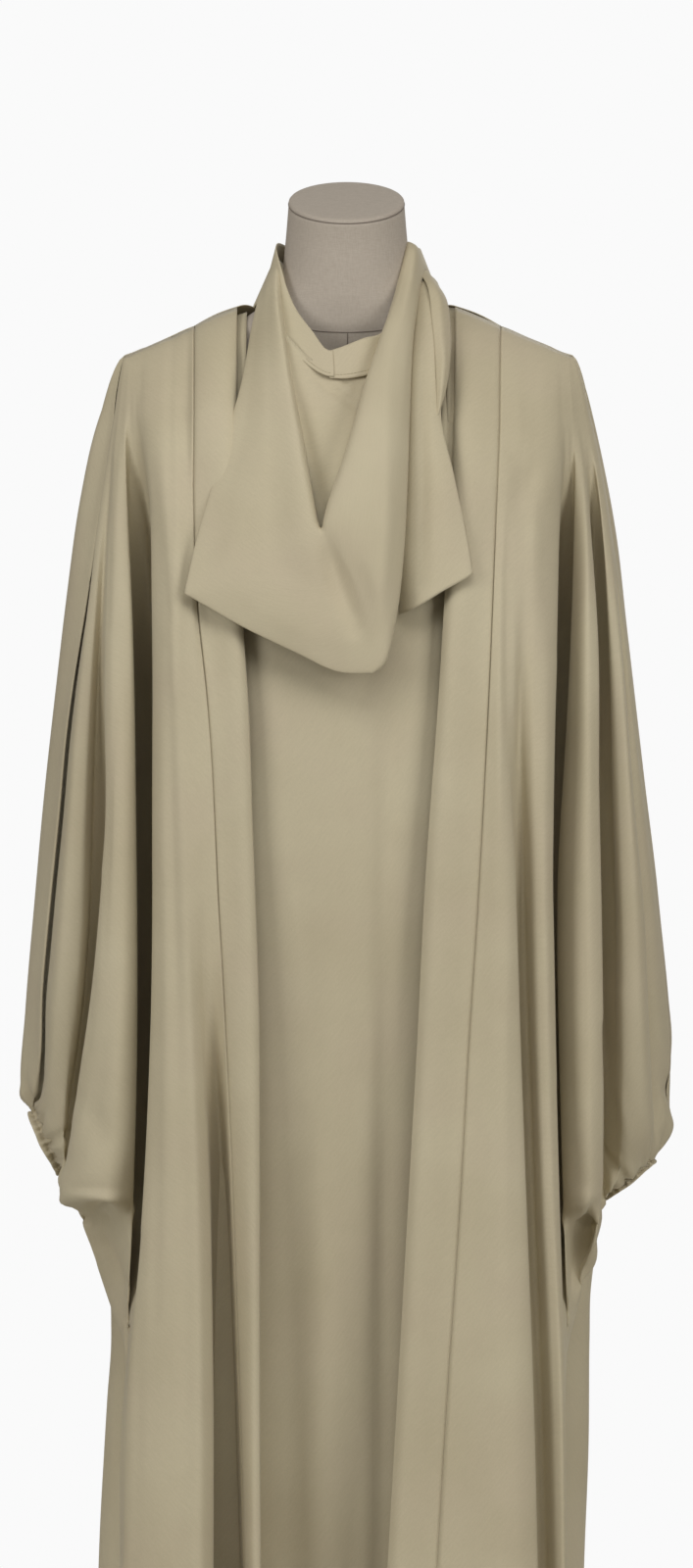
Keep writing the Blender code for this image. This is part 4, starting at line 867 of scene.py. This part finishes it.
def makeCuff(side, cloth):
    # gathered casing: tight at the elastic, with a short soft frill beyond it
    centre, axis, sideways, upward = cuffFrame(side)
    radius = cuffs[side]["radius"] * mm
    end, looseness = cuffs[side]["end"], cuffs[side]["loose"]
    along = np.linspace(cuffShape["start"], end, cuffShape["along"])
    turn = np.linspace(0.0, 2.0 * np.pi, cuffShape["around"] + 1)
    uneven = np.sin(cuffShape["puckers"] * turn + 0.9 * np.sin(3.0 * turn))
    tight = uneven + 0.5 * np.sin(2.0 * cuffShape["puckers"] * turn + 1.7 * np.sin(2.0 * turn))
    loose = (np.sin(9.0 * turn + 1.1 * np.sin(2.0 * turn)) + 0.7 * np.sin(14.0 * turn + 2.4)
             + 0.4 * uneven)
    slow = np.sin(3.0 * turn + 0.7) + 0.6 * np.sin(5.0 * turn + 2.6)
    rings = []
    for s in along:
        past = s - cuffShape["elastic"]
        waist = math.exp(-(past / cuffShape["elasticReach"]) ** 2)
        frill = max(0.0, past / (end - cuffShape["elastic"]))
        size = radius * (cuffShape["size"] - cuffShape["waist"] * waist
                         + cuffShape["flare"] * math.sin(math.pi * frill))
        pucker = cuffShape["pucker"] + cuffShape["waistPucker"] * waist
        size = size + mm * pucker * tight * (1.0 - 0.8 * frill)
        size = size + mm * frill ** 0.8 * looseness * (cuffShape["frill"] * loose
                                                       + cuffShape["frillSway"] * slow)
        shift = mm * (s + frill * looseness * (cuffShape["frill"] * slow - cuffShape["frillDrop"] * loose))
        rings.append(centre + axis * shift[:, None] + upward * (size * np.cos(turn))[:, None]
                     + sideways * (size * np.sin(turn))[:, None])
    mesh = gridMesh(np.stack(rings))
    places = np.arange(len(mesh.verts))
    columns = len(turn)
    layMap(mesh, places % columns * cuffShape["aroundStep"], places // columns * cuffShape["alongStep"])
    bmesh.ops.remove_doubles(mesh, verts=mesh.verts, dist=weldDistance)
    mesh.normal_update()
    mesh.faces.ensure_lookup_table()
    face = mesh.faces[0]
    out = np.array(face.calc_center_median()) - centre
    if np.dot(out - axis * np.dot(out, axis), np.array(face.normal)) < 0.0:
        bmesh.ops.reverse_faces(mesh, faces=mesh.faces)
    piece = finishPiece("cuff" + side.capitalize(), mesh, cloth, cuffShape["wall"])
    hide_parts("cuff_" + side)
    return piece


# under-dress
# height, across, depth of the front, depth of the back, in mm
underLines = {
    "side": ((1262, 172, 0, 0), (1200, 172, 0, 0), (1100, 168, 0, 0), (1000, 169, 0, 0), (700, 185, 0, 0),
        (340, 196, 0, 0), (45, 201, 0, 0)),
    "armhole": ((1288, 157, -56, 58), (1250, 158, -62, 58), (1150, 156, -64, 58), (1000, 157, -64, 58),
        (700, 171, -67, 63), (340, 182, -69, 67), (45, 186, -71, 69)),
    "strapOuter": ((1312, 129, -84, 86), (1250, 130, -94, 90), (1150, 131, -104, 92), (1000, 134, -106, 92),
        (700, 143, -108, 98), (340, 152, -110, 104), (45, 156, -112, 108)),
    "strapInner": ((1314, 99, -98, 100), (1250, 98, -112, 104), (1150, 98, -124, 108),
        (1000, 100, -128, 110), (700, 106, -124, 118), (340, 114, -114, 126), (45, 118, -108, 130)),
    "chest": ((1304, 48, -110, 108), (1250, 46, -126, 110), (1150, 45, -136, 116), (1000, 45, -138, 118),
        (700, 48, -134, 126), (340, 52, -120, 134), (45, 54, -112, 138)),
    "centre": ((1300, 0, -112, 110), (1250, 0, -129, 114), (1150, 0, -139, 118), (1000, 0, -142, 122),
        (700, 0, -139, 132), (340, 0, -126, 142), (45, 0, -118, 148)),
}
underRows = ((1314, 20), (1200, 60), (600, 44), (45, 1))
underPitch = 5.0 * mm
underSeam = 0.6 * mm          # front and back stand this far off the side seam
strapEdges = (96.5, 129.0)    # where each strap's edges lie across the shoulder, in mm
# soft folds of the front, same columns as on the cloak
underFolds = (
    (-44, 900, -52, 160, 20, 3.0, 0.0), (-16, 800, -30, 120, 18, -2.6, 0.0),
    (10, 700, 4, 120, 20, 2.4, 0.0), (40, 1060, 30, 120, 12, 6.0, -0.2),
    (12, 1090, -6, 960, 16, -1.4, 0.0), (30, 560, 20, 200, 10, -2.0, 0.0),
)
strapInner = ((-98, 1315), (-83, 1350), (-63, 1385), (-35, 1427), (0, 1446.5), (34, 1428),
              (70, 1386), (88, 1350), (100, 1315.5))
strapOuter = ((-84, 1313.5), (-74, 1345), (-55, 1378), (-30, 1416), (0, 1435.5), (28, 1416),
              (60, 1379), (77, 1345), (86, 1314))


def makeUnderDress(cloth):
    heights = rowHeights(underRows)
    made = {}
    for name, column, lean, folds in (("underFront", 2, -1.0, underFolds), ("underBack", 3, 1.0, ())):
        half = [np.array([(row[0], row[1], row[column]) for row in rows], float)
                for rows in underLines.values()]
        lines = []
        for sign in (-1.0, 1.0):
            wing = []
            for rows in half:
                table = rows * np.array([1.0, sign, 1.0]) * mm
                share = np.clip((heights - drop["blend"]) / (heights[0] - drop["blend"]), 0.0, 1.0)
                at = heights + (table[0, 0] - heights[0]) * share
                flat = smoothAlong(table[::-1, 0], table[::-1, 1:], at)
                wing.append(np.column_stack([flat, at]))
            lines += wing if sign < 0 else wing[::-1][1:]
        places = acrossLines(np.stack(lines, axis=1), underPitch)[0]
        places[:, (0, -1), 1] += lean * underSeam
        made[name] = sheetMesh(name, pressFolds(places, folds), cloth)
        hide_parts("under_front" if lean < 0 else "under_back")
    for side, sign in (("Left", -1.0), ("Right", 1.0)):
        edges = []
        for x, path in zip(strapEdges, (strapInner, strapOuter)):
            table = np.array([(sign * x, y, z) for y, z in path]) * mm
            edges.append(smoothAlong(np.arange(len(path), dtype=float), table,
                                     np.linspace(0.0, len(path) - 1.0, 97)))
        inner, outer = edges
        grid = np.stack([inner + (outer - inner) * t for t in np.linspace(0.0, 1.0, 9)])
        made["strap" + side] = sheetMesh("underStrap" + side, grid, cloth)
        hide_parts("under_strap_" + side.lower())
    return made


# collar
# stations round the drape: turned-in strip, inner edge, face, face, outer edge, turned-under strip
drape = (
    ((-58, 14, 1490), (-66, 12, 1497), (-72, 12, 1489), (-78, 11, 1478), (-82, 11, 1467), (-76, 12, 1466)),
    ((-58, -18, 1478), (-67, -22, 1488), (-74, -24, 1480), (-80, -21, 1469), (-85, -17, 1459),
     (-79, -14, 1459)),
    ((-58, -46, 1446), (-67, -58, 1456), (-77, -55, 1443), (-86, -49, 1432), (-92.5, -44, 1423),
     (-87, -41, 1424)),
    ((-53, -76, 1406), (-60, -92, 1413), (-76, -91, 1397), (-90, -86, 1384), (-100.5, -80, 1376),
     (-94, -77, 1378)),
    ((-45, -104, 1350), (-50, -122, 1355), (-75, -123, 1336), (-99, -116, 1319), (-118, -108, 1311),
     (-111, -106, 1313)),
    ((-40, -118, 1318), (-44, -137, 1323), (-75, -139, 1300), (-108, -131, 1279), (-129.5, -123, 1271),
     (-123, -121, 1274)),
    ((-35, -130, 1287), (-38, -149, 1291), (-75, -151, 1262), (-113, -144, 1238), (-142, -136, 1227),
     (-135, -134, 1231)),
    ((-27, -146, 1243), (-29, -163, 1247), (-74, -166, 1212), (-123, -160, 1185), (-154, -153, 1174),
     (-147, -151, 1179)),
    ((-24, -150, 1236), (-26, -167, 1238), (-56, -173, 1190), (-84, -171, 1156), (-99, -165, 1142),
     (-95, -164, 1150)),
    ((-23, -151, 1234), (-24.5, -168, 1236), (-34, -177, 1178), (-42, -178, 1132), (-46, -173, 1116),
     (-44, -172, 1124)),
    ((-22, -151, 1235), (-24, -168, 1236), (-14, -177, 1172), (-8, -180, 1122), (-8, -177, 1099),
     (-7, -175, 1107)),
    ((-21, -150, 1237), (-23, -168, 1238), (2, -178, 1178), (18, -185, 1124), (24, -184, 1097),
     (20, -178, 1104)),
    ((-19, -148, 1242), (-22, -167, 1243), (8, -180, 1188), (29, -188, 1135), (36, -184, 1106),
     (29, -166, 1112)),
    ((-14, -142, 1262), (-17, -163, 1262), (14, -182, 1214), (37, -188, 1168), (47, -178, 1148),
     (38, -154, 1150)),
    ((-1, -132, 1298), (-4, -154, 1298), (24, -174, 1262), (45, -176, 1226), (54.5, -164, 1212),
     (45, -138, 1212)),
    ((8, -118, 1334), (8, -140, 1337), (31, -158, 1312), (49, -158, 1290), (58, -147, 1282),
     (48, -120, 1282)),
    ((20, -98, 1378), (20, -118, 1380), (38, -132, 1366), (54, -130, 1354), (60.5, -119, 1350),
     (51, -94, 1350)),
    ((36, -66, 1430), (38.5, -84, 1431), (50, -93, 1424), (60, -90, 1418), (64, -79, 1416),
     (57, -58, 1416)),
    ((48, -38, 1470), (52, -50, 1468), (60, -55, 1466), (67, -50, 1461), (70, -40, 1459), (65, -26, 1459)),
    ((54, -6, 1506), (59.5, -12, 1512), (66, -14, 1510), (73, -8, 1497), (76, 0, 1487), (72, 4, 1482)),
    ((52, 16, 1506), (58, 14, 1514), (66, 16, 1509), (74, 18, 1496), (78, 21, 1482), (74, 20, 1476)),
)
fall = (
    ((60, 8, 1486), (74, 4, 1488), (82, 2, 1482), (89, 0, 1472), (86, 2, 1466)),
    ((60, -28, 1462), (76, -36, 1466), (88, -34, 1460), (97, -26, 1450), (93, -22, 1448)),
    ((58, -54, 1430), (76, -68, 1430), (90, -66, 1424), (99, -58, 1416), (94, -54, 1416)),
    ((54, -84, 1384), (72, -98, 1384), (86, -96, 1380), (95, -88, 1376), (90, -84, 1377)),
    ((50, -108, 1334), (70, -122, 1336), (82, -120, 1338), (90.5, -112, 1341), (85, -109, 1340)),
    ((48, -128, 1272), (70, -142, 1268), (88, -141, 1276), (102, -134, 1286), (96, -131, 1286)),
    ((46, -140, 1212), (68, -153, 1204), (92, -152, 1216), (114, -145, 1228), (107, -142, 1230)),
    ((50, -144, 1153), (62, -157, 1158), (92, -158, 1175.5), (119, -150, 1192), (115, -147, 1191)),
)
# right-hand end of the collar strip, folded over the fall at the neck
tab = (
    ((66, -2, 1490), (78, -4, 1486), (85, -4, 1478)),
    ((78, -34, 1470), (89, -38, 1464), (97, -32, 1456)),
    ((82, -62, 1436), (92, -66, 1431), (100.5, -58, 1424)),
    ((85, -88, 1396), (93, -92, 1396), (99.5, -82, 1394)),
    ((86, -106, 1362), (90, -108, 1364), (95, -100, 1366)),
    ((86, -115, 1342), (88, -115, 1346), (91, -108, 1352)),
)
bib = (
    ((-74, -58, 1440), (-80, -114, 1330), (-76, -130, 1226)),
    ((-56, -80, 1420), (-62, -121, 1310), (-54, -138, 1208)),
    ((-36, -92, 1400), (-40, -126, 1300), (-36, -142, 1198)),
    ((-16, -97, 1388), (-18, -127, 1296), (-20, -143, 1195)),
    ((4, -97, 1386), (2, -125, 1298), (-4, -142, 1200)),
    ((30, -89, 1393), (20, -120, 1308), (12, -139, 1212)),
    ((48, -73, 1420), (34, -110, 1330), (26, -133, 1232)),
    ((62, -52, 1444), (46, -98, 1350), (38, -126, 1244)),
)
bibFolds = (
    (-22, 1384, 20, 1366, 3.6, 4.2, 0.5), (-30, 1380, 16, 1348, 4.6, 6.5, 0.5),
    (-46, 1360, -30, 1270, 9, 3.0, 0.0), (10, 1345, -14, 1262, 9, -3.0, 0.0),
    (-10, 1366, 14, 1352, 5, -2.2, 0.0),
)
# stand: upper edge, lower edge; it starts under the front overlap and ends on top of it
neckBand = (
    ((-20, -89, 1405), (-16, -102, 1379.5)), ((-4, -90, 1410), (-1, -102.5, 1379)),
    ((16, -86, 1418), (18, -100, 1382)), ((34, -75, 1424), (34, -92, 1388)),
    ((50, -52, 1456), (55, -70, 1412)), ((60, -28, 1484), (70, -40, 1444)),
    ((65.5, 6, 1510), (77, 6, 1464)), ((46, 52, 1508), (54, 62, 1462)),
    ((0, 69, 1505), (0, 80, 1458)), ((-46, 52, 1508), (-54, 62, 1462)),
    ((-67.5, 8, 1513), (-79, 6, 1468)), ((-64, -26, 1490), (-74, -42, 1447)),
    ((-50, -56, 1450), (-60, -76, 1418)), ((-32, -78, 1424), (-38, -95, 1393)),
    ((-20, -89.6, 1408), (-20, -102, 1382)), ((-13, -91.2, 1405.5), (-12, -103, 1381)),
)
collarBack = (
    ((-66, 8, 1498), (-83, 10, 1462)), ((-70, 36, 1500), (-96, 47, 1441)),
    ((-60, 62, 1502), (-88, 81, 1423)), ((-34, 84, 1504), (-52, 104, 1404)),
    ((0, 93, 1500), (0, 112, 1390)), ((34, 84, 1504), (52, 104, 1404)),
    ((60, 62, 1504), (88, 81, 1425)), ((72, 36, 1508), (97, 47, 1444)),
    ((68, 8, 1510), (84, 10, 1470)),
)


drapeFolds = (
    (-20, 1222, 6, 1142, 11, 8.0, -0.25), (-58, 1420, -66, 1200, 16, 2.0, 0.0),
    (-100, 1290, -112, 1210, 16, -1.5, 0.0), (40, 1420, 34, 1180, 8, -2.0, 0.0),
    (-8, 1190, 0, 1120, 12, -2.0, 0.0),
)
fallFolds = ((74, 1460, 72, 1180, 8, 3.5, 0.3), (90, 1300, 100, 1220, 8, -1.4, 0.0))
collarBackFolds = ((-50, 1480, -60, 1440, 6, 2.0, 0.0), (46, 1485, 58, 1436, 6, 2.0, 0.0))
collar = {
    # key, piece, CAD node, stations, steps between them, pitch across in mm, corners, folds
    "pieces": (
        ("drape", "collarDrape", "collar_drape", drape, 9, 2.6, (7, 11), drapeFolds),
        ("fall", "collarFall", "collar_fall", fall, 12, 2.6, (), fallFolds),
        ("tab", "collarTab", "", tab, 12, 2.2, (), ()),
        ("bib", "collarBib", "collar_bib", bib, 12, 2.6, (), bibFolds),
        ("neckBand", "neckStand", "neckband", neckBand, 12, 2.6, (), ()),
        ("back", "collarBack", "collar_back", collarBack, 12, 3.0, (), collarBackFolds),
    ),
    # topstitching near the neckband's lower edge
    "stitchShare": 0.86, "stitchRise": 0.12 * mm,
    "stitch": 2.6 * mm, "stitchSpace": 0.8 * mm, "threadRadius": 0.28 * mm,
}


def stationGrid(stations, alongSteps, acrossPitch, corners=()):
    # smooth both ways through a short table of stations; the outer lines turn sharply at corners
    table = np.array(stations, float) * mm
    count = table.shape[0]
    at = np.linspace(0.0, count - 1.0, (count - 1) * alongSteps + 1)
    gaps = np.linalg.norm(np.diff(table, axis=0), axis=2).mean(axis=1)
    knots = np.concatenate([[0.0], np.cumsum(np.sqrt(np.maximum(gaps, 2 * mm)))])
    spread = np.interp(at, np.arange(count), knots)
    runs = []
    for k in range(table.shape[1]):
        run = smoothAlong(knots, table[:, k], spread)
        if k >= table.shape[1] - 2:
            stops = [0, *corners, count - 1]
            for first, last in zip(stops, stops[1:]):
                here = (at >= first) & (at <= last)
                run[here] = smoothAlong(knots[first:last + 1], table[first:last + 1, k], spread[here])
        runs.append(run)
    return acrossLines(np.stack(runs, axis=1), acrossPitch)[0]


def makeCollar(cloth, thread):
    made = {}
    for key, name, node, stations, steps, pitch, corners, folds in collar["pieces"]:
        places = pressFolds(stationGrid(stations, steps, pitch * mm, corners), folds)
        made[key] = sheetMesh(name, places, cloth)
        if node:
            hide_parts(node)
        if key == "neckBand":
            column = int(round(collar["stitchShare"] * (places.shape[1] - 1)))
            run = places[:, column] + outwardOf(places)[:, column] * collar["stitchRise"]
            made["topstitch"] = layCord("neckTopstitch", dashes(run), collar["threadRadius"], thread)
    return made


def dashes(run):
    # cuts a run into stitches
    along = np.concatenate([[0.0], np.cumsum(np.linalg.norm(np.diff(run, axis=0), axis=1))])
    cut = []
    start = 0.0
    while start + collar["stitch"] < along[-1]:
        at = np.linspace(start, start + collar["stitch"], 3)
        cut.append(np.column_stack([np.interp(at, along, run[:, k]) for k in range(3)]))
        start += collar["stitch"] + collar["stitchSpace"]
    return cut


# dress form and its stand
form = {
    # height, half width, front depth, back depth in mm
    "sections": ((770, 150, 98, 98), (785, 158, 104, 106), (850, 164, 106, 112), (950, 146, 94, 98),
                 (1050, 122, 82, 80), (1130, 134, 98, 86), (1200, 150, 118, 96), (1260, 158, 112, 98),
                 (1320, 168, 86, 92), (1365, 180, 64, 80), (1388, 180, 50, 66), (1402, 170, 42, 56),
                 (1414, 152, 44, 54), (1424, 132, 47, 54), (1432, 114, 50, 54), (1439, 101, 51, 54),
                 (1447, 89, 52, 54), (1457, 77, 53, 54), (1470, 68, 53, 54), (1486, 62.5, 53, 53),
                 (1510, 59.5, 53, 53), (1550.5, 56, 56, 55)),
    "sides": 96, "rings": 150,                     # places round, and rings from low to high
    "tilt": 17.1,                                  # degrees, of the neck's cut top
    "tiltStart": 1500 * mm, "tiltRun": 40 * mm,
    "cap": ((56.0, 0.3), (56.1, 1.5), (55.8, 2.8), (55.0, 3.7), (53.0, 4.2), (49.0, 4.5),
            (30.0, 4.8), (12.0, 5.0), (1.0, 5.0)),     # radius, rise
    "neckSeam": 1425, "neckSeamRise": 30,
    "frontSeam": (1424 * mm, 1300 * mm), "frontSeamSide": 1.0 * mm, "frontSeamSteps": 60,
    "seamRadius": 0.45 * mm, "seamRise": 0.2 * mm, "rimOut": 0.1 * mm,
}
# radius and height in mm
stand = {
    "Base": ((0.2, 0), (139, 0), (140, 1), (140, 10), (138.6, 12.4), (134, 14.6), (40, 18), (0.2, 18)),
    "Pole": ((0.2, 18.3), (30, 18.3), (30, 28), (28.5, 30), (16, 34), (14, 37), (14, 756), (16, 760),
             (29, 764), (30, 766), (30, 769.6), (0.2, 769.6)),
}


def formRing(height, half, front, back, rise=0.0):
    angle = np.linspace(0.0, 2.0 * np.pi, form["sides"] + 1)
    depth = np.where(np.sin(angle) < 0.0, front, back)
    x = half * np.cos(angle)
    y = depth * np.sin(angle)
    lean = max(0.0, (height - form["tiltStart"]) / form["tiltRun"])
    z = height + rise + y * math.tan(math.radians(form["tilt"])) * lean
    return np.column_stack([x, y, z])


def closeSolid(name, mesh, material):
    # welds the seam, fills the ends and turns the faces outwards
    bmesh.ops.remove_doubles(mesh, verts=mesh.verts, dist=weldDistance)
    bmesh.ops.holes_fill(mesh, edges=[e for e in mesh.edges if e.is_boundary], sides=0)
    bmesh.ops.recalc_face_normals(mesh, faces=mesh.faces)
    if mesh.calc_volume(signed=True) < 0.0:
        bmesh.ops.reverse_faces(mesh, faces=mesh.faces)
    return finishPiece(name, mesh, material)


def turnedPiece(name, profile, material):
    # profile: radius, height in mm, spun round the pole
    mesh = bmesh.new()
    verts = [mesh.verts.new((r * mm, 0.0, z * mm)) for r, z in profile]
    edges = [mesh.edges.new(pair) for pair in zip(verts, verts[1:])]
    bmesh.ops.spin(mesh, geom=verts + edges, cent=(0, 0, 0), axis=(0, 0, 1),
                   angle=2.0 * math.pi, steps=form["sides"], use_merge=True)
    piece = closeSolid(name, mesh, material)
    piece.data.set_sharp_from_angle(angle=math.radians(40.0))
    return piece


def makeForm(cover, seam, brushed):
    made = {}
    table = np.array(form["sections"], float) * mm
    at = np.linspace(table[0, 0], table[-1, 0], form["rings"])
    smooth = smoothAlong(table[:, 0], table[:, 1:], at)
    rings = np.stack([formRing(height, *row) for height, row in zip(at, smooth)])
    made["torso"] = closeSolid("formTorso", gridMesh(rings), cover)
    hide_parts("form_torso")
    top = table[-1]
    edge = form["cap"][0][0]
    cap = np.stack([formRing(top[0], *(top[1:] * radius / edge), rise * mm)
                    for radius, rise in form["cap"]])
    made["cap"] = closeSolid("formCap", gridMesh(cap), cover)
    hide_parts("form_cap")

    # cover seams: round the cap, round the neck's base, and down the middle of the front, drawn as dark
    # cords: thread and painted shade of the sunk seams
    rim = formRing(top[0], *(top[1:] + form["rimOut"]), form["seamRise"])
    angle = np.linspace(0.0, 2.0 * np.pi, 121)
    neckHeight = (form["neckSeam"] + form["neckSeamRise"] * np.cos(angle) ** 2) * mm
    low = smoothAlong(table[:, 0], table[:, 1:], neckHeight) + form["seamRise"]
    depth = np.where(np.sin(angle) < 0, low[:, 1], low[:, 2])
    neck = np.column_stack([low[:, 0] * np.cos(angle), depth * np.sin(angle), neckHeight])
    down = np.linspace(*form["frontSeam"], form["frontSeamSteps"])
    fronts = smoothAlong(table[:, 0], table[:, 1:], down)[:, 1] + form["seamRise"]
    centre = np.column_stack([np.full(len(down), form["frontSeamSide"]), -fronts, down])
    made["seams"] = layCord("formSeams", [rim, neck, centre], form["seamRadius"], seam)
    for name, profile in stand.items():
        key = name.lower()
        made[key] = turnedPiece("stand" + name, profile, brushed)
        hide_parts("stand_" + key)
    return made


# build
setStage()
print("stage set")
cloth = makeCrepe()
linenCover = makeLinen()
brushedSteel = makeSteel()
sewingThread = makeThread("polyesterThreadTwisted", threads["stitches"])
# the form's seams: thread, darkened as painted shade of their sunk groove
seamThreadAndShade = makeThread("linenSeamThreadPaintedShade", threads["seams"])
formPieces = makeForm(linenCover, seamThreadAndShade, brushedSteel)
print("form made")
underPieces = makeUnderDress(cloth)
print("under-dress made")
cloakPieces = makeCloak(cloth)
print("cloak made")
collarPieces = makeCollar(cloth, sewingThread)
print("collar made")
cuffPieces = {side: makeCuff(side, cloth) for side in cuffs}
print("cuffs made")
